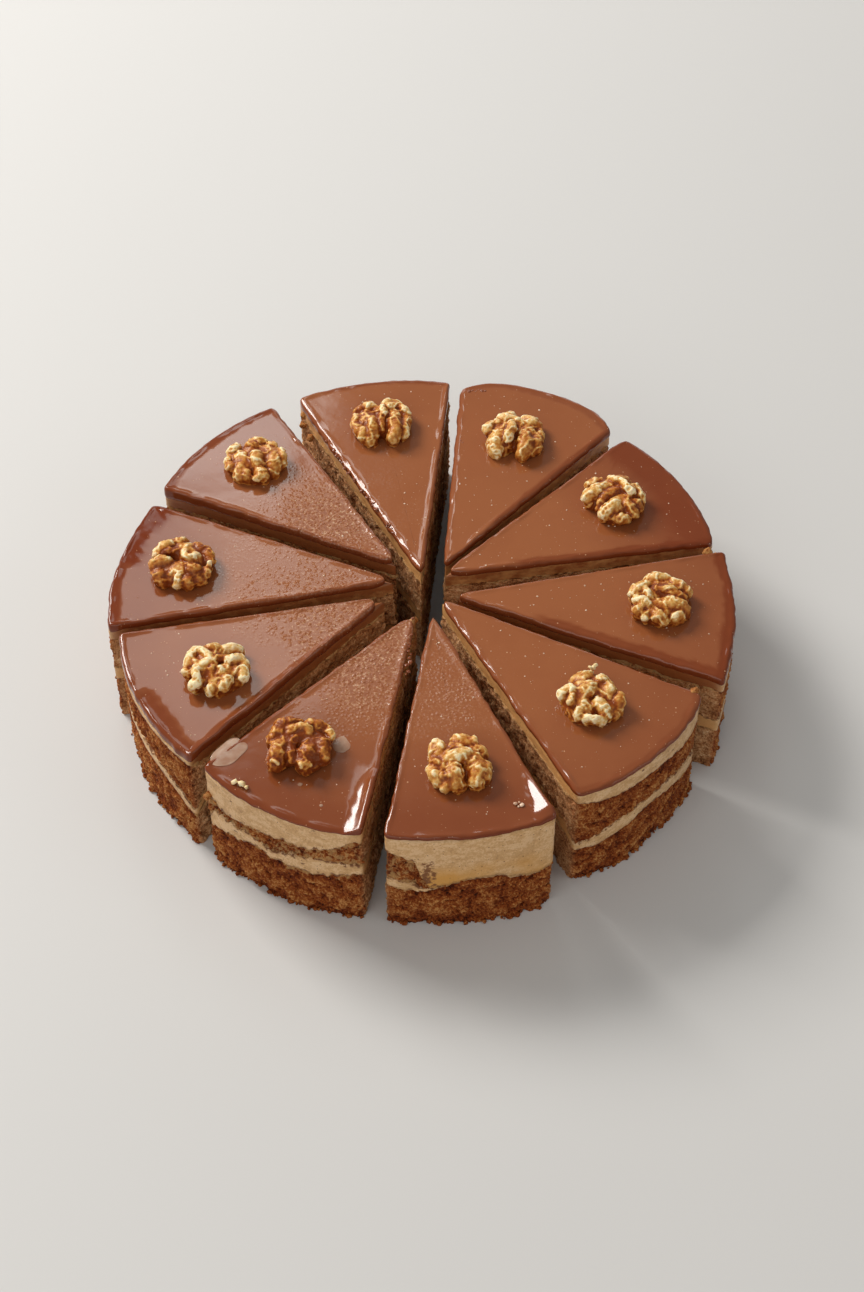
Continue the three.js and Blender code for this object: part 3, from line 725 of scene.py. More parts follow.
def make_sponge(blank, number, plan, below, layer, material):
    low = (edge_heights(plan, number, below), usual_height(plan.piece, below))
    high = (edge_heights(plan, number, layer), usual_height(plan.piece, layer))
    seed = number if layer == "lower_sponge" else number + 50
    made, spots, stand_out = shape_layer(
        blank, f"{layer}_{number:02d}", plan, low, high, sponge_wall(seed, below == "plate"))
    # The crumb tone is painted light and shade: pale where crumbs stand out, dark in the hollows.
    note(made.data, "crumb", crumb_light_and_shade(stand_out, plan.rim[blank.column]))
    from_cream = high[0][blank.column] - spots[:, 2]
    if below != "plate":
        from_cream = np.minimum(from_cream, spots[:, 2] - low[0][blank.column])
    creamy = 0.8 * np.clip(1 - from_cream / TORN_DEPTHS.get(number, USUAL_TORN_DEPTH), 0, 1)
    if layer == "upper_sponge":
        creamy = np.maximum(creamy, PALE_CRUMB.get(number, 0) * plan.rim[blank.column])
    note(made.data, "creamy", creamy)
    return finish_piece(made, material, f"slice_{number:02d}_{layer}")


def make_cream(blank, number, plan, below, layer, material):
    on_top = layer == "top_cream"
    # The top cream of the sixth slice hangs down over the sponge at its rim.
    hangs_down = number == 6 and on_top
    low = (edge_heights(plan, number, below) - OVERLAP, usual_height(plan.piece, below) - 0.1)
    high = (edge_heights(plan, number, layer) + (0 if on_top else OVERLAP), usual_height(plan.piece, layer))
    made, spots, _ = shape_layer(
        blank, f"{layer}_{number:02d}", plan, low, high, cream_wall(number, 0.9 if hangs_down else 0.35))
    smear = np.zeros(len(spots))
    if hangs_down:
        lower_third = np.clip((40 - spots[:, 2]) / 7, 0, 1)
        smear = lower_third * np.clip(0.75 + bumps(spots, 12, 3) * 1.2, 0, 1)
    note(made.data, "smear", smear)
    under = spots[:, 2] - low[0][blank.column]
    above = high[0][blank.column] - spots[:, 2]
    note(made.data, "dragged", plan.piece["dragged"] * on_top * np.clip(1.2 - 0.08 * above, 0, 1))
    from_sponge = under if on_top else np.minimum(under, above)
    reach = TORN_DEPTHS.get(number, USUAL_TORN_DEPTH) * 0.7
    crumbed = 0.57 * np.clip(1 - (from_sponge - 0.5) / reach, 0, 1)
    if hangs_down:
        # The bare sponge at the left of this slice's rim ends in crumbs that are half covered.
        beside = np.clip(1.4 - np.abs(plan.place[blank.column] - 0.25) / 0.07, 0, 1)
        crumbed = np.maximum(crumbed, 0.62 * beside * np.clip((46 - spots[:, 2]) / 5, 0, 1))
    note(made.data, "crumbed", crumbed)
    return finish_piece(made, material, f"slice_{number:02d}_{layer}")


# ---------------------------------------------------------------- glaze
# The glaze's edge stands out most at this share of its height. Below it is tucked in by this share, and
# above it rounds over, the squarer the higher the power.
FULLEST = 0.35
TUCKED_IN = 0.45
ROUNDING_POWER = 2.6


def edge_profile(share):
    """How far the glaze's edge stands out at shares of its height, from 0 to 1."""
    above = np.clip((share - FULLEST) / (1 - FULLEST), 0, 1)
    below = np.clip((FULLEST - share) / FULLEST, 0, 1)
    return np.where(share >= FULLEST, (1 - above ** ROUNDING_POWER) ** (1 / ROUNDING_POWER),
                    1 - TUCKED_IN * below ** 2)


def from_edges(piece, at):
    """For places in the plan: the distance from the two cuts and the rim, and the share along each."""
    away = at - np.array(piece["point"])
    distance = np.hypot(away[:, 0], away[:, 1])
    angle = np.degrees(np.arctan2(away[:, 1], away[:, 0]))
    past_low = (angle - piece["cuts"][0] + 180) % 360 - 180
    before_high = (piece["cuts"][1] - angle + 180) % 360 - 180
    place = np.clip(past_low / (piece["cuts"][1] - piece["cuts"][0]), 0, 1)
    reach = reach_at(piece, place)
    return dict(
        low=(distance * np.sin(np.radians(np.clip(past_low, 0, 90))), distance / reach),
        high=(distance * np.sin(np.radians(np.clip(before_high, 0, 90))), distance / reach),
        rim=(np.maximum(reach - distance, 0), place))


def fade_between(share, start, end):
    """1 from start to end, and fading out over a short way past both."""
    return np.clip((share - start) / LIP_FADE + 1, 0, 1) * np.clip((end - share) / LIP_FADE + 1, 0, 1)


def rising_lip(number, lip, distance, share, wobble):
    """The height of a lip that rises, and where it is. It is smoother than one that sinks."""
    _, _, start, end, width, rise, _ = lip
    along = np.clip((share - start) / (end - start), 0, 1)
    first_size, first_curve = RISING_LIPS[number]
    size = mix(first_size, 1, along)
    reach = width * size * (1 + 0.25 * wobble)
    strip = np.clip(1 - np.maximum(distance - LEVEL_EDGE, 0) / reach, 0, 1)
    fade = fade_between(share, start, end)
    curve = mix(first_curve, 1.1, along ** 0.7)
    return rise * size * strip ** curve * fade, np.clip(strip * 4, 0, 1) * fade


def glaze_surface(piece, number, at):
    """How high the poured glaze lies at places in the plan, and how much darker it is painted there, partly
    for thicker glaze and partly as painted shade. It leans a little, ripples, and rises or sinks towards
    some edges."""
    edges = from_edges(piece, at)
    right, back = np.radians(piece["lean"])
    from_point = at - np.array(piece["point"])
    height = GLAZE_TOP - from_point[:, 0] * right - from_point[:, 1] * back
    spots = np.column_stack([at, np.zeros(len(at))])
    height += 0.14 * bumps(spots, 26, number + 60)
    wobble = 0.35 * bumps(spots, 11, number + 61) + 0.2 * bumps(spots, 3.5, number + 62)
    shade = np.zeros(len(at))
    calm = np.zeros(len(at))
    for lip in LIPS:
        slice_number, edge, start, end, width, rise, darker = lip
        if slice_number != number:
            continue
        distance, share = edges[edge]
        if rise > 1:
            raised, calm = rising_lip(number, lip, distance, share, wobble)
            height += raised
        else:
            strip = np.clip(1 - distance / (width * (1 + wobble)), 0, 1)
            fade = fade_between(share, start, end)
            height += rise * strip ** 1.1 * fade
            shade = np.maximum(shade, darker * np.clip(strip * 4, 0, 1) * fade)
    # A low ridge stands along every edge, where the glaze drew together.
    from_edge = np.min([edge[0] for edge in edges.values()], axis=0)
    ridge = np.exp(-((from_edge - 1.1) / 0.8) ** 2) * (1 - calm)
    height += ridge * np.maximum(0.22 + 0.5 * bumps(spots, 7, number + 63), 0)
    return height, shade


def bloom_haze_and_light(piece, at):
    """Bloom, and the lightening that is partly haze and partly painted light, are thickest near the middle
    of the cake and fade out towards the rim.
    """
    distance = np.hypot(at[:, 0] - piece["point"][0], at[:, 1] - piece["point"][1])
    bloom = piece["bloom"] * np.clip((84 - distance) / 40, 0, 1)
    return bloom, mix(piece["rim_haze_and_light"], 1, np.clip((105 - distance) / 45, 0, 1))


def make_glaze(blank, number, piece, material):
    plan = Plan(piece, piece["setback"], rounding=10)
    made = blank.copy(f"glaze_{number:02d}")
    column = blank.column
    share = blank.row / blank.rows
    spots = np.column_stack([plan.at, np.full(COLUMNS, GLAZE_TOP)])
    bead = 0.7 + 0.35 * bumps(spots, 9, number + 70) + 0.25 * bumps(spots, 2.6, number + 71)
    wander = 0.35 * bumps(spots, 14, number + 72) + 0.34 * bumps(spots, 4, number + 73)
    stand_out = wander[column] - 0.3 + (0.1 + bead[column]) * edge_profile(share)
    wall = plan.at[column] + plan.out[column] * stand_out[:, None]
    shares = share_inwards(blank.ring, GLAZE_SHARES)
    at = mix(wall, plan.middle, shares[:, None])
    top, shade = glaze_surface(piece, number, at)
    drip = np.maximum(bumps(spots, 8, number + 80) - 0.1, 0) * 1.2 * plan.rim
    foot = usual_height(piece, "top_cream") - piece["droop"] * (1 - plan.inward) - drip - 0.15
    low = mix(foot[column], usual_height(piece, "top_cream"), np.clip(shares * 8, 0, 1))
    z = mix(low, top, share)
    place_all(made.data, np.column_stack([at, z]) * MM)
    bloom, haze_and_light = bloom_haze_and_light(piece, at)
    note(made.data, "bloom", bloom)
    # The lightening is partly haze and partly painted light.
    note(made.data, "haze_and_light", haze_and_light)
    # Painted shade, together with the thicker glaze: the wall, a thin band along each edge and the lips'
    # strips are painted darker.
    from_edge = np.min([edge[0] for edge in from_edges(piece, at).values()], axis=0)
    on_top = 0.4 * np.clip(1 - (from_edge - piece["setback"] * 0.2) / 0.8, 0, 1)
    on_top = np.maximum(on_top, shade)
    note(made.data, "edge", np.where(blank.ring == 0, mix(1, on_top, share ** 3), on_top))
    return finish_piece(made, material, f"slice_{number:02d}_glaze")


# ---------------------------------------------------------------- walnuts
# A lobe is its radius, how far its skin is rubbed pale (0 to 1) and the line that it follows, in
# millimetres right and back of the middle of its nut. A lobe of NUT_FOLD or less in paleness lies low.
NUT_FOLD = 0.1
WALNUTS = [
    dict(at=(-18.2, 94.6), notch=-88, lobes=[
        (2.0, 0.9, (-5.2, 13), (-6.9, 11), (-5.4, 7.8), (-2.6, 8)),
        (1.8, 0.9, (2.0, 9.5), (3.4, 12.8), (6.3, 12.3), (7, 9), (4.5, 7.2), (2.6, 8.4)),
        (1.5, 0.7, (0.7, 7.5), (0.7, 2)), (1.5, 0.05, (0.7, 2), (0.4, -6)),
        (3.0, 0.45, (-3.9, -1.5), (-4.6, -10.3)), (2.2, 0.75, (-8.2, -6), (-7.6, -10.6)),
        (3.0, 0.4, (6.8, 0.8), (5.6, -10.4)), (2.2, 0.55, (10.4, 4.5), (11.9, 0), (10.8, -7.5)),
        (1.9, 0.85, (8.8, 9.4), (11.4, 5.5)), (1.9, 0.2, (-9, 10.5), (-11.4, 7)),
        (2.5, 0.6, (-11.7, 4), (-11.6, -1)), (2.5, 0.2, (-10.5, -4), (-9.5, -7)),
        (2.2, 0.1, (-6.6, 4), (-4, 2))]),
    dict(at=(39.4, 85.7), notch=-98, lobes=[
        (1.9, 0.9, (-4.5, 13), (-6.4, 11), (-3.5, 9.2), (0.6, 9.2), (3.2, 7)),
        (1.9, 0.85, (-4, 13.4), (-0.5, 13)), (2.5, 0.85, (5.1, 11.6), (8, 11), (8.8, 7), (6.2, 6.4)),
        (2.0, 0.55, (-1.2, 5), (-2.2, -0.5), (-2.2, -6)), (1.6, 0.5, (-6.7, 2.2), (-1.2, 4.8)),
        (3.6, 0.75, (-7, -1.8), (-9, -8)), (3.2, 0.35, (5.4, -1.2), (3.6, -10.6)),
        (2.4, 0.3, (7.8, -8), (7.6, -9)), (2.3, 0.6, (-10.2, 6.6), (-11.6, 1.8)),
        (2.0, 0.5, (-8.4, 8.6), (-7, 6.5)), (2.2, 0.15, (10.4, 8), (11.6, 4.5)),
        (2.1, 0.5, (12.2, 1), (11.9, -1)), (2.8, 0.3, (10.8, -3.6), (9.8, -7.5))]),
    dict(at=(80.1, 47.6), notch=-140, lobes=[
        (3.2, 0.75, (-4.8, 5.2), (-10.8, -0.8)), (2.9, 0.75, (1.5, -4), (-4.6, -10.2)),
        (1.8, 0.05, (3.2, 4.2), (-7.2, -5.2)),
        (1.6, 0.85, (-1, 10.2), (1.7, 7.9), (4.8, 6.6), (5.5, 2), (7.8, 0.4), (8.8, 4.6), (11.2, 5.4),
         (11.7, 1)),
        (3.0, 0.4, (0, 12), (5.6, 10.6)), (2.4, 0.45, (-9.8, 8), (-5.4, 9.8)),
        (2.1, 0.6, (12.6, 1.6), (12.6, -2)), (2.5, 0.2, (11.6, -6), (9.8, -4.6)),
        (2.8, 0.2, (6, -5.8), (8, -9.2)), (2.3, 0.3, (0.4, -12), (4.4, -11.8))]),
    dict(at=(96.0, -10.5), notch=-21, lobes=[
        (2.9, 0.75, (-7.6, 7), (-10.8, 2.8)), (1.6, 0.95, (-3.6, 8.2), (-6.2, 4), (-5.2, -0.6)),
        (2.7, 0.7, (-4, 10.6), (3.4, 10)), (2.8, 0.55, (6.8, 7.4), (10.8, 4.8)),
        (1.5, 0.1, (-3.2, 3.8), (8.6, 1), (11, -0.8)), (1.3, 0.55, (1, 3.6), (7, 2)),
        (3.2, 0.6, (2.6, -3), (6, -4)), (3.2, 0.3, (6, -4), (10, -6)),
        (2.7, 0.65, (-9.6, -2.6), (-6.4, -4.6)), (2.3, 0.65, (-7.4, -10), (-6.8, -9)),
        (2.5, 0.2, (-10.2, -6.4), (-9, -7.4)), (2.7, 0.35, (-3.4, -8.4), (-0.4, -11.4)),
        (2.3, 0.55, (5.8, -10.4), (8.6, -9.6))]),
    dict(at=(65.3, -61.9), notch=-60, lobes=[
        (3.3, 0.5, (-5.2, 9.4), (-0.8, 9.8)), (2.2, 0.85, (-11.6, 0), (-11.2, 2.6), (-8.4, 3.4), (-6.9, 1)),
        (3.2, 0.4, (-2, 0.6), (1.6, 2.8)), (2.8, 0.5, (6.8, 5), (8.4, -1.2)),
        (2.4, 0.2, (11.4, 0), (11.2, -6)), (2.1, 0.55, (4.2, 7.8), (5.2, 7)),
        (2.9, 0.65, (3.4, -4.8), (5.6, -8.6)), (2.7, 0.55, (-4.2, -6), (-5.8, -9.4)),
        (2.1, 0.2, (-8.7, -4), (-8, -2)), (1.9, 0.95, (-2, -12), (4.2, -12.2)),
        (2.3, 0.8, (6.5, -10), (7.2, -9.6)), (2.7, 0.3, (9.8, -8.6), (8.6, -6))]),
    dict(at=(14.2, -94.2), notch=-85, lobes=[
        (1.9, 0.8, (-11, 3.6), (-10.8, 7), (-8, 8.2), (-6.2, 5.3), (-8.4, 2.8), (-11, 3.6)),
        (3.1, 0.6, (-0.2, 10.6), (3.8, 8)), (1.5, 0.4, (6.4, 9), (6.8, 8)),
        (2.5, 0.4, (8.2, 5), (10, 3.8)), (2.7, 0.75, (-4.2, -1), (0.4, 1.8), (3.2, 2.1)),
        (3.3, 0.5, (5.6, 1.4), (7.2, -4), (7.4, -9.6)), (3.3, 0.45, (-2.8, -4.8), (-0.6, -10.6)),
        (2.5, 0.8, (-10.2, -4.6), (-8.8, -8.6)), (2.2, 0.6, (-5.8, -12), (-5, -11)),
        (2.4, 0.2, (-6.2, -7.6), (-5.8, -8.4)), (1.8, 0.2, (-9.8, -0.8), (-7, -2.6)),
        (2.2, 0.55, (11.4, -2.6), (11.2, -7.6)), (2.0, 0.3, (-2.5, 6.5), (-3, 4.5))]),
    dict(at=(-46.7, -85.9), notch=-103, lobes=[
        (3.0, 0.3, (-10.6, 3), (-6, 8.8), (-1, 11)), (3.5, 0.4, (-8.2, -0.8), (-9, -8.4)),
        (1.0, 0.8, (-10, -9.6), (-8, -10.6)), (2.0, 0.6, (-4.2, 6), (0.7, 7), (3.8, 5.4), (5, 2.6)),
        (1.6, 0.05, (0.2, 2.4), (-2.5, -1.6), (-3.2, -7.6)), (3.8, 0.2, (4.2, -2.4), (3.2, -9.4)),
        (1.2, 0.75, (2, -12), (5.2, -11.2)), (2.8, 0.45, (5.4, 8.8), (9, 8.8)),
        (1.7, 0.85, (11.4, 7.4), (12.4, 4.4)), (3.0, 0.15, (9.8, -0.4), (10.4, -6)),
        (2.4, 0.1, (7.6, 3), (8.4, 2))]),
    dict(at=(-80.8, -47.4), notch=43, lobes=[
        (1.9, 0.85, (-12.2, 1.8), (-10.5, 6), (-7.1, 7.6), (-4.5, 6.2), (-2.4, 2.4), (-4.9, -1.6),
         (-7.7, -4.2), (-6.9, -8.6)),
        (3.2, 0.3, (-9.4, 2), (-8.6, 1)), (2.0, 0.3, (-12.4, -2), (-11.6, -3)),
        (2.3, 1.0, (2.2, 10), (9.2, 10.4)), (2.2, 0.45, (-4.9, 9.4), (-0.8, 10.6)),
        (1.6, 0.1, (8.6, 6.4), (1.1, 3.2), (-2.2, -5.4)),
        (2.3, 0.8, (4.9, 2.6), (9.6, 4.1), (12.2, 1), (11.2, -4.8)), (3.3, 0.5, (8.6, -1.6), (8.6, -3)),
        (2.5, 0.35, (5.6, -7.6), (3.4, -10)), (1.4, 0.85, (4.8, -10.6), (5.4, -9.8)),
        (2.3, 0.55, (-1.6, -11.4), (-0.8, -10)), (2.3, 0.8, (-9, -9.4), (-7.6, -9)),
        (1.4, 0.6, (1.9, -2.4), (2.4, -3))]),
    dict(at=(-98.5, 10.2), notch=168, lobes=[
        (2.6, 0.8, (-11, 5.8), (-5.6, 8.6)), (2.0, 0.55, (-6.2, 11), (1.6, 10.8)),
        (3.4, 0.12, (5.7, 8.8), (8.2, 5.4)), (2.3, 0.25, (10.8, 6.6), (11.6, 1.4)),
        (1.7, 1.0, (3.8, 7.4), (1.5, 6.2), (0.5, 2.5), (2.4, -0.7), (5.7, -0.8), (7.8, 0.8)),
        (1.6, 0.05, (-8.6, 2.7), (-0.6, 5)), (3.0, 0.4, (-10.4, -2.8), (-5.6, -2)),
        (2.8, 0.2, (-10.6, -5.8), (-7.6, -9.6)), (1.9, 0.95, (-0.6, -9), (-1.6, -12)),
        (2.5, 0.12, (3.4, -12), (3.6, -10)), (2.6, 0.4, (7, -9.4), (10, -9)),
        (2.6, 0.15, (4.6, -6), (6.4, -5.4)), (1.2, 1.0, (12.9, -3.4), (12.7, -3)),
        (2.2, 0.35, (11.3, -5.4), (11, -6.4))]),
    dict(at=(-71.8, 70.7), notch=-70, lobes=[
        (2.9, 0.55, (-1.8, 11.6), (3.1, 10.4)), (3.0, 0.15, (-1.8, 6.6), (-0.6, 6)),
        (2.7, 0.65, (-10.4, 4.8), (-8.4, 6.4)), (1.9, 0.75, (-12.6, -0.8), (-12, 1)),
        (2.1, 0.3, (-11, -4), (-9.4, -5.6)), (1.8, 0.85, (-6.2, 2.7), (-6, 2)),
        (3.1, 0.45, (-4.8, -4.4), (-6.4, -9)), (2.3, 0.3, (-2.5, -11.2), (-2.6, -10)),
        (3.1, 0.55, (0.3, 1), (2.3, -5.6)), (3.0, 0.5, (3.6, -9.6), (4.8, -11)),
        (2.0, 0.3, (1.4, -12.4), (1.8, -12)), (3.2, 0.5, (5, 5.2), (8.2, 2.4), (8.8, -6.6)),
        (2.2, 0.7, (11.4, 4.2), (12.4, -1.8)), (2.4, 0.4, (7.4, 8.2), (8, 7.4))]),
]
# How high the lobes, the low lobes and the bed under them rise above the glaze, in millimetres.
NUT_HEIGHT = 10.2
NUT_FOLD_HEIGHT = 8.5
NUT_BED_HEIGHT = 6.9
# The bed's place, width and depth, with the notch in front: its two halves, and the meat behind the notch.
NUT_BED = ((-5.2, 0.2, 6.2, 10), (5.2, 0.2, 6.2, 10), (0, 4.5, 6, 6.5))
# How much lower a lobe lies away from the middle, and how much of its measured reach its line keeps.
NUT_ROUNDING = 0.019
NUT_DRAW_IN = 0.95
# How long the ribs along a lobe are, how coarse the fused skin is, and how far a nut has sunk in.
RIB_LENGTH = 3.1
NUT_VOXEL = 0.42
NUT_SUNK = 0.1
# Nuts whose skin is darker or lighter than usual.
NUT_SHADES = {1: -0.04, 3: -0.03, 5: 0.05, 6: -0.03, 7: -0.19, 8: 0.05, 9: -0.11, 10: -0.02}


def make_ball():
    """The ball that every lobe of the walnuts is put together from."""
    deselect()
    bpy.ops.mesh.primitive_ico_sphere_add(subdivisions=3, radius=MM)
    return take_mesh()


def along_line(points, step):
    """Places at even steps along a line, rounded off at its corners, and how far along it they are."""
    points = np.array(points, float)
    lengths = np.concatenate([[0], np.cumsum(np.hypot(*np.diff(points, axis=0).T))])
    count = max(2, int(round(lengths[-1] / step)) + 1)
    reached = np.linspace(0, lengths[-1], count)
    places = np.column_stack([np.interp(reached, lengths, points[:, i]) for i in (0, 1)])
    for _ in range(3):
        places[1:-1] = (places[:-2] + 2 * places[1:-1] + places[2:]) / 4
    return places, reached


def nut_knobs(nut, stream):
    """The balls of a nut: rows of place, radius and paleness."""
    knobs = []
    # Each lobe swells, rises and sways along its line, in waves that start where the stream says.
    for radius, pale, *line in nut["lobes"]:
        places, reached = along_line(line, radius * 0.4)
        phase = between(stream, 0, 2 * math.pi)
        low = pale <= NUT_FOLD
        lobe_top = NUT_FOLD_HEIGHT if low else NUT_HEIGHT + between(stream, -1.0, 0.5)
        for (x, y), run in zip(places * NUT_DRAW_IN, reached):
            tip = max(0, 1 - min(run, reached[-1] - run) / radius)
            rib = 0 if low else 0.08 * math.sin(run / RIB_LENGTH * 2 * math.pi + phase)
            size = radius * (1.1 - 0.1 * tip + rib + 0.08 * math.sin(run / 2.9 + 2 * phase))
            top = lobe_top - NUT_ROUNDING * (x * x + y * y) - 0.8 * tip
            height = max(top - size + 0.5 * math.sin(run / 3.7 + phase), 0.5)
            sway = 0.6 * math.sin(run / 2.4 + 3 * phase)
            knobs.append((x + sway, y - sway, height, size, pale + 0.15 * tip))
            # The lobe's flanks reach down to the glaze and tuck in a little.
            knobs.append((x * 0.95, y * 0.95, height * 0.55, size * 0.98, pale * 0.55))
            knobs.append((x * 0.9, y * 0.9, height * 0.2, size * 0.9, pale * 0.3))
    return knobs


def nut_bed(nut):
    """The meat under the lobes, turned so that the nut's notch is where it belongs."""
    turn = math.radians(nut["notch"] + 90)
    right, back = math.cos(turn), math.sin(turn)
    return [(x * right - y * back, x * back + y * right, wide, deep, turn) for x, y, wide, deep in NUT_BED]


def standing_out(mesh, times):
    """How far each vertex stands out of the surface round it, in millimetres."""
    at = places_of(mesh) / MM
    ends = np.empty(2 * len(mesh.edges), int)
    mesh.edges.foreach_get("vertices", ends)
    ends = ends.reshape(-1, 2)
    counts = np.maximum(np.bincount(ends.ravel(), minlength=len(at)), 1)[:, None]
    soft = at
    for _ in range(times):
        total = np.zeros_like(soft)
        np.add.at(total, ends[:, 0], soft[ends[:, 1]])
        np.add.at(total, ends[:, 1], soft[ends[:, 0]])
        soft = total / counts
    return ((at - soft) * read_vertices(mesh, "normal")).sum(1)


def wrinkle(mesh, seed):
    """Raises narrow crests on the skin, as where it dried round the meat, and gives each vertex's share
    of a crest."""
    at = places_of(mesh) / MM
    shift = Vector((5.3, 1.7, 9.1)) * seed
    ridges = np.array([
        noise.ridged_multi_fractal(Vector(p) / 5.0 + shift, 0.85, 2.2, 3, 1, 2) for p in at])
    valley, ridge = np.percentile(ridges, (45, 97))
    crest = np.clip((ridges - valley) / (ridge - valley), 0, 1)
    swell = 0.46 * crest + 0.28 * rugged(at, 3.2, seed) - 0.17
    place_all(mesh, (at + read_vertices(mesh, "normal") * swell[:, None]) * MM)
    return crest


def paleness(at, knobs):
    """Each vertex takes after the lobe that it belongs to."""
    knobs = np.array(knobs)
    apart = np.linalg.norm(at[:, None, :] - knobs[None, :, :3], axis=2) - knobs[:, 3]
    weight = np.exp(-np.clip(apart, -1, 8) / 0.3)
    return (weight * knobs[:, 4]).sum(1) / weight.sum(1)


def soften(piece, times):
    softened = piece.modifiers.new("soften", "SMOOTH")
    softened.factor = 0.5
    softened.iterations = times
    bpy.ops.object.modifier_apply(modifier=softened.name)


def fuse_balls(name, knobs, bed, ball):
    """Copies the ball to every place in a nut and puts one skin round them all."""
    copies = [((x, y, z), (size, size, size), 0) for x, y, z, size, _ in knobs]
    copies += [((x, y, 1.0), (wide, deep, NUT_BED_HEIGHT), turn) for x, y, wide, deep, turn in bed]
    deselect()
    for place, sizes, turn in copies:
        part = add_object("lobe", ball.copy())
        set_down(part, place, sizes, (0, 0, turn))
    made = join_selected(name, part)
    fused = made.modifiers.new("fuse", "REMESH")
    fused.mode = "VOXEL"
    fused.voxel_size = NUT_VOXEL * MM
    bpy.ops.object.modifier_apply(modifier=fused.name)
    return made


def make_walnut(number, nut, ball, material):
    knobs = nut_knobs(nut, random_stream(9000 + 17 * number))
    made = fuse_balls(f"walnut_{number:02d}", knobs, nut_bed(nut), ball)
    soften(made, 5)
    crest = wrinkle(made.data, number)
    soften(made, 1)
    at = places_of(made.data) / MM
    fine = np.clip(standing_out(made.data, 8) / 0.22, -1.2, 1)
    broad = np.clip(standing_out(made.data, 50) / 1.0, -1.2, 1)
    # The skin is rubbed off crests and knobs, and more of it towards the top. Partly this is painted light
    #     and shade: hollows and low flanks are painted darker, knobs and tops paler.
    worn_and_shaded = 0.5 * paleness(at, knobs) + 0.12 * crest + 0.26 * fine + 0.2 * broad - 0.03
    worn_and_shaded += NUT_SHADES.get(number, 0) + 0.1 * np.clip((at[:, 2] - 6) / 3, -1, 1)
    note(made.data, "worn_and_shaded", worn_and_shaded)
    at[:, 2] = np.maximum(at[:, 2], 0)
    place_all(made.data, (at + np.array([*nut["at"], GLAZE_TOP - NUT_SUNK])) * MM)
    return finish_piece(made, material, f"slice_{number:02d}_walnut")


# ---------------------------------------------------------------- crumbs, specks and drops
# Golden bits of walnut and orange crumbs lying loose: places in millimetres and radii.
NUT_BITS = [(-70.6, -100.6, 56.2, 1.1), (-67.8, -101.6, 56.2, 1.4), (-66.0, -103.0, 56.0, 0.9)]
LOOSE_CRUMBS = [
    (-82.2, -94.6, 40.0, 1.8), (-79.0, -96.0, 38.5, 1.3), (118.2, 20.4, 55.6, 1.7),
    (120.8, 19.4, 55.0, 1.3), (106.0, -55.2, 54.6, 1.8), (107.6, -53.2, 53.8, 1.4),
    (104.0, -57.8, 54.4, 1.2), (-52.4, 110.4, 50.0, 2.0), (-53.0, 105.8, 48.0, 1.6),
    (-49.6, 99.0, 47.0, 1.5), (-3.2, -12.4, 50.0, 1.6),
]
# Milky syrup: the middle of each pool, how wide and deep it is, and its turn in degrees.
SYRUP_POOLS = [(-74.0, -86.0, 8.2, 4.8, 48), (-31.0, -81.4, 3.4, 4.2, 0), (-45.9, -100.8, 0.9, 0.8, 0),
               (-37.6, -110.6, 0.8, 0.6, 0)]
# Lines along which the edge of the glaze has broken into chips: from, to and how many.
CHIPPED = [((-52.0, 112.0), (-33.0, 70.0), 26), ((-33.0, 70.0), (-9.0, 27.0), 30),
           ((19.0, 118.6), (30.0, 120.6), 16), ((19.4, 114.0), (15.0, 63.0), 14),
           ((-4.6, -16.0), (-5.6, -46.0), 16)]
# Pale crumbs near the corner of the sixth slice.
PALE_CRUMBS = [(35.2, -111.0, 56.3, 0.9), (36.6, -110.4, 56.3, 0.6), (37.6, -111.6, 56.2, 0.8),
               (36.3, -112.3, 56.1, 0.5)]
# How many crumbs hang on a sponge's wall and lie along a slice's foot, and how many specks a glaze has.
WALL_CRUMBS = 130
FOOT_CRUMBS = 60
SPECKS = 55


def make_bit(cuts, roughness):
    """A small lump to copy, rounded from a cube. Its radius is a millimetre."""
    deselect()
    bpy.ops.mesh.primitive_cube_add(size=2)
    bpy.ops.object.mode_set(mode="EDIT")
    bpy.ops.mesh.subdivide(number_cuts=cuts)
    bpy.ops.object.mode_set(mode="OBJECT")
    mesh = take_mesh()
    at = places_of(mesh)
    at /= np.linalg.norm(at, axis=1)[:, None]
    place_all(mesh, at * (1 + roughness * bumps(at, 0.7, 3))[:, None] * MM)
    return mesh


def scatter(name, bit, spots, stream, material, flat=1):
    """Copies a bit to many places, each turned its own way, and joins the copies. A spot is a place and
    a radius in millimetres. Bits that are flattened lie nearly level."""
    tilt = math.pi if flat == 1 else 0.3
    deselect()
    for *place, size in spots:
        part = add_object(name, bit.copy())
        sizes = (size * between(stream, 0.8, 1.3), size * between(stream, 0.8, 1.3), size * flat)
        turns = (between(stream, -tilt, tilt), between(stream, -tilt, tilt), between(stream, 0, 6))
        set_down(part, place, sizes, turns)
    made = join_selected(name, part)
    at = places_of(made.data)
    at[:, 2] = np.maximum(at[:, 2], 0)
    place_all(made.data, at)
    return finish_piece(made, material)


def inside_box(spot):
    """Whether a crumb keeps within the cake's own extent."""
    margin = 1.5 * spot[3] + 0.3
    return all(cad_box[0][i] / MM + margin < spot[i] < cad_box[1][i] / MM - margin for i in (0, 1))


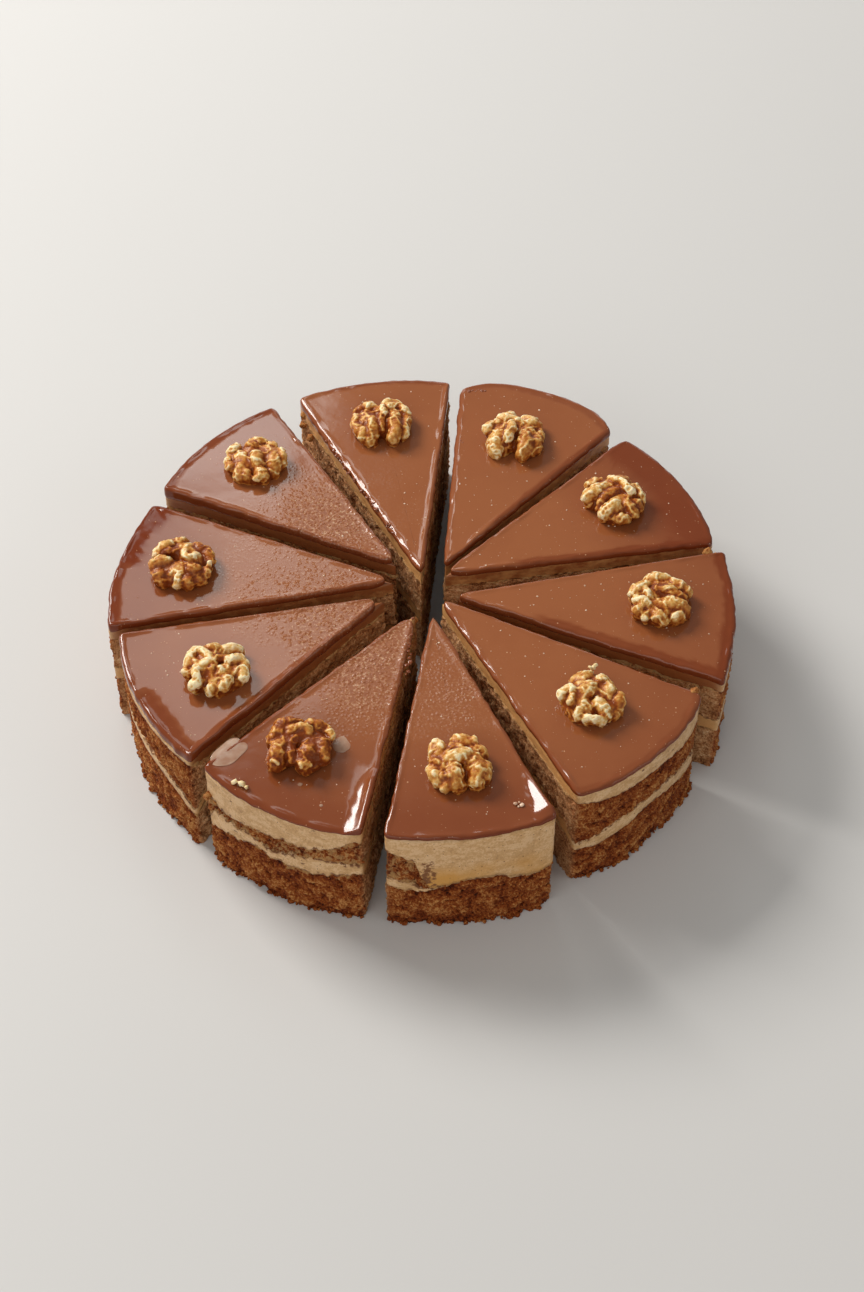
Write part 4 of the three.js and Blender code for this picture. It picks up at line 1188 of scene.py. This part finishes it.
def crumbs_on(made, blank, foot, stream):
    """Crumbs that hang on the baked wall of a sponge, or lie along its foot."""
    rim = np.empty(len(made.data.vertices))
    made.data.attributes["rim"].data.foreach_get("value", rim)
    near = blank.row < 3 if foot else blank.row > 1
    candidates = np.flatnonzero((rim > 0.7) & near & (blank.ring == 0))
    at = places_of(made.data) / MM
    spots = []
    for _ in range(FOOT_CRUMBS if foot else WALL_CRUMBS):
        x, y, z = at[candidates[int(between(stream, 0, len(candidates) - 1))]]
        size = between(stream, 0.5, 1) ** 2 * (1.3 if foot else 0.9)
        outward = 1 + between(stream, -0.6, 0.7 if foot else 0) / math.hypot(x, y)
        spots.append((x * outward, y * outward, size * 0.6 if foot else z, size))
    return [spot for spot in spots if inside_box(spot)]


def specks_on(piece, number, stream):
    """Pale specks of sugar on a slice's glaze, thickest towards the middle of the cake."""
    at = []
    for _ in range(SPECKS):
        place = between(stream, 0.08, 0.92)
        distance = reach_at(piece, place) * between(stream, 0.04, 0.92) ** 0.7
        aim = direction(mix(*piece["cuts"], place))
        at.append(np.array(piece["point"]) + aim * distance)
    height, _ = glaze_surface(piece, number, np.array(at))
    return [(x, y, z, between(stream, 0.4, 1) ** 3 * 0.42) for (x, y), z in zip(at, height)]


def chip_spots(stream):
    """Where chips of glaze lie along its broken edges."""
    spots = []
    for (x0, y0), (x1, y1), count in CHIPPED:
        for _ in range(count):
            share = next(stream)
            spots.append((mix(x0, x1, share) + between(stream, -0.8, 0.8),
                          mix(y0, y1, share) + between(stream, -0.8, 0.8),
                          GLAZE_TOP - between(stream, 0, 0.7), between(stream, 0.3, 0.9)))
    return spots


def make_pools(material):
    """Flat drops of syrup on the seventh slice."""
    deselect()
    bpy.ops.mesh.primitive_uv_sphere_add(segments=40, ring_count=20, radius=MM)
    drop = take_mesh()
    at = places_of(drop) / MM
    height, _ = glaze_surface(SLICES[6], 7, np.array([spot[:2] for spot in SYRUP_POOLS]))
    for (x, y, wide, deep, turn), z in zip(SYRUP_POOLS, height):
        pool = add_object("pool", drop.copy())
        place_all(pool.data, at * (1 + 0.25 * bumps(at, 0.9, wide))[:, None] * MM)
        set_down(pool, (x, y, z - 0.05), (wide, deep, min(0.35, wide * 0.6)), (0, 0, math.radians(turn)))
    return finish_piece(join_selected("syrup_pools", pool), material)


def make_nut_chip(bit, material):
    """A pale chip of walnut that stands behind the fifth nut, and golden bits on the seventh slice."""
    stream = random_stream(77)
    spots = [(66.8, -46.6, 57.4, 1.1), (67.3, -46.2, 59.2, 1.0), (65.9, -46.9, 60.4, 0.7),
             (68.2, -45.8, 60.3, 0.8)]
    made = scatter("walnut_chip", bit, spots + NUT_BITS, stream, material)
    note(made.data, "worn_and_shaded", np.full(len(made.data.vertices), 0.85))


def make_litter(sponge_pieces, sponge, glaze, walnut):
    """Everything small that lies on the cake or round its foot."""
    stream = random_stream(4711)
    crumb = make_bit(1, 0.5)
    chip = make_bit(2, 0.5)
    fallen = []
    for made, blank, _ in sponge_pieces:
        fallen += crumbs_on(made, blank, False, stream)
    for made, blank, stands_on_plate in sponge_pieces:
        if stands_on_plate:
            fallen += crumbs_on(made, blank, True, stream)
    crumbs = scatter("sponge_crumbs", crumb, fallen, stream, sponge)
    golden = scatter("loose_crumbs", chip, LOOSE_CRUMBS, stream, sponge)
    for made, height in ((crumbs, 0.62), (golden, 1.2)):
        note(made.data, "rim", np.ones(len(made.data.vertices)))
        note(made.data, "crumb", np.full(len(made.data.vertices), height))
    speck = make_bit(1, 0.2)
    spots = list(PALE_CRUMBS)
    for number, piece in enumerate(SLICES, start=1):
        spots += specks_on(piece, number, stream)
    scatter("sugar_specks", speck, spots, stream, sugar_material(), flat=0.5)
    scatter("glaze_chips", chip, chip_spots(stream), stream, glaze, flat=0.45)
    make_pools(syrup_material())
    make_nut_chip(chip, walnut)


# ---------------------------------------------------------------- floor, light and camera
def make_floor(material):
    deselect()
    bpy.ops.mesh.primitive_plane_add(size=6, location=(0, 0, 0))
    floor = bpy.context.object
    floor.name = "floor"
    floor.data.materials.append(material)


def add_light(name, at, size, strength, colour=(1, 1, 1), aim=(0, 0, 0.05)):
    """A soft box. size is its width and height, and strength is its brightness seen from the front."""
    light = bpy.data.lights.new(name, "AREA")
    light.shape = "RECTANGLE"
    light.size, light.size_y = size
    light.energy = strength * size[0] * size[1] * math.pi
    light.color = colour
    lamp = add_object(name, light)
    lamp.location = at
    lamp.rotation_euler = (Vector(aim) - Vector(at)).to_track_quat("-Z", "Y").to_euler()


def polar(azimuth, elevation, distance):
    """A place seen from the cake. Azimuth 0 is towards +Y and grows towards -X."""
    a, e = math.radians(azimuth), math.radians(elevation)
    return (-math.sin(a) * math.cos(e) * distance, math.cos(a) * math.cos(e) * distance,
            math.sin(e) * distance)


def light_the_scene():
    """A window on the left, two panels that the glaze mirrors, and soft light from the other sides."""
    add_light("key_window", polar(50, 38, 2.4), (0.93, 0.93), 20.5, (1, 0.97, 0.93))
    add_light("tall_panel", polar(12.6, 46.8, 1.75), (0.36, 0.5), 2.4, (0.95, 1, 0.98))
    add_light("low_panel", polar(9, 41.5, 1.6), (0.2, 0.16), 2.2, (0.95, 1, 0.98))
    add_light("front_fill", polar(155, 36, 2.2), (2.0, 1.3), 1.65, (1, 0.97, 0.93))
    add_light("right_fill", polar(-112, 30, 2.4), (1.2, 1.0), 1.3, (1, 0.98, 0.95))
    add_light("back_wall", polar(0, 14, 2.4), (2.0, 0.6), 1.6, (1, 0.98, 0.97))
    world = bpy.data.worlds.new("studio")
    bpy.context.scene.world = world
    world.use_nodes = True
    set_inputs(world.node_tree, world.node_tree.nodes["Background"], {
        "Color": linear("#f6f4f1"), "Strength": 0.3})


# Where the photograph was taken from, in metres, how many degrees the camera is tilted up from straight
# down, and its lens in millimetres.
CAMERA_PLACE = (0.00396, -0.61955, 0.71634)
CAMERA_PITCH = 41.67
CAMERA_LENS = 61.86


def place_camera():
    camera = add_object("camera", bpy.data.cameras.new("camera"))
    camera.location = CAMERA_PLACE
    camera.rotation_euler = (math.radians(CAMERA_PITCH), 0, 0)
    camera.data.lens = CAMERA_LENS
    camera.data.sensor_width = 36
    bpy.context.scene.camera = camera


# ---------------------------------------------------------------- the cake
def make_cake():
    sponge = sponge_material()
    cream = cream_material()
    glaze = glaze_material()
    walnut = walnut_material()
    blanks = {layer: Blank(rows, len(CAP_SHARES)) for layer, rows in WALL_ROWS.items()}
    glaze_blank = Blank(GLAZE_ROWS, len(GLAZE_SHARES))
    ball = make_ball()
    sponges = []
    for number, (piece, nut) in enumerate(zip(SLICES, WALNUTS), start=1):
        plan = Plan(piece)
        below = "plate"
        for layer, blank in blanks.items():
            if layer in ("lower_sponge", "upper_sponge"):
                made = make_sponge(blank, number, plan, below, layer, sponge)
                sponges.append((made, blank, below == "plate"))
            else:
                make_cream(blank, number, plan, below, layer, cream)
            below = layer
        make_glaze(glaze_blank, number, piece, glaze)
        make_walnut(number, nut, ball, walnut)
    make_litter(sponges, sponge, glaze, walnut)


bpy.context.scene.view_settings.view_transform = "Standard"
make_floor(floor_material())
make_cake()
light_the_scene()
place_camera()
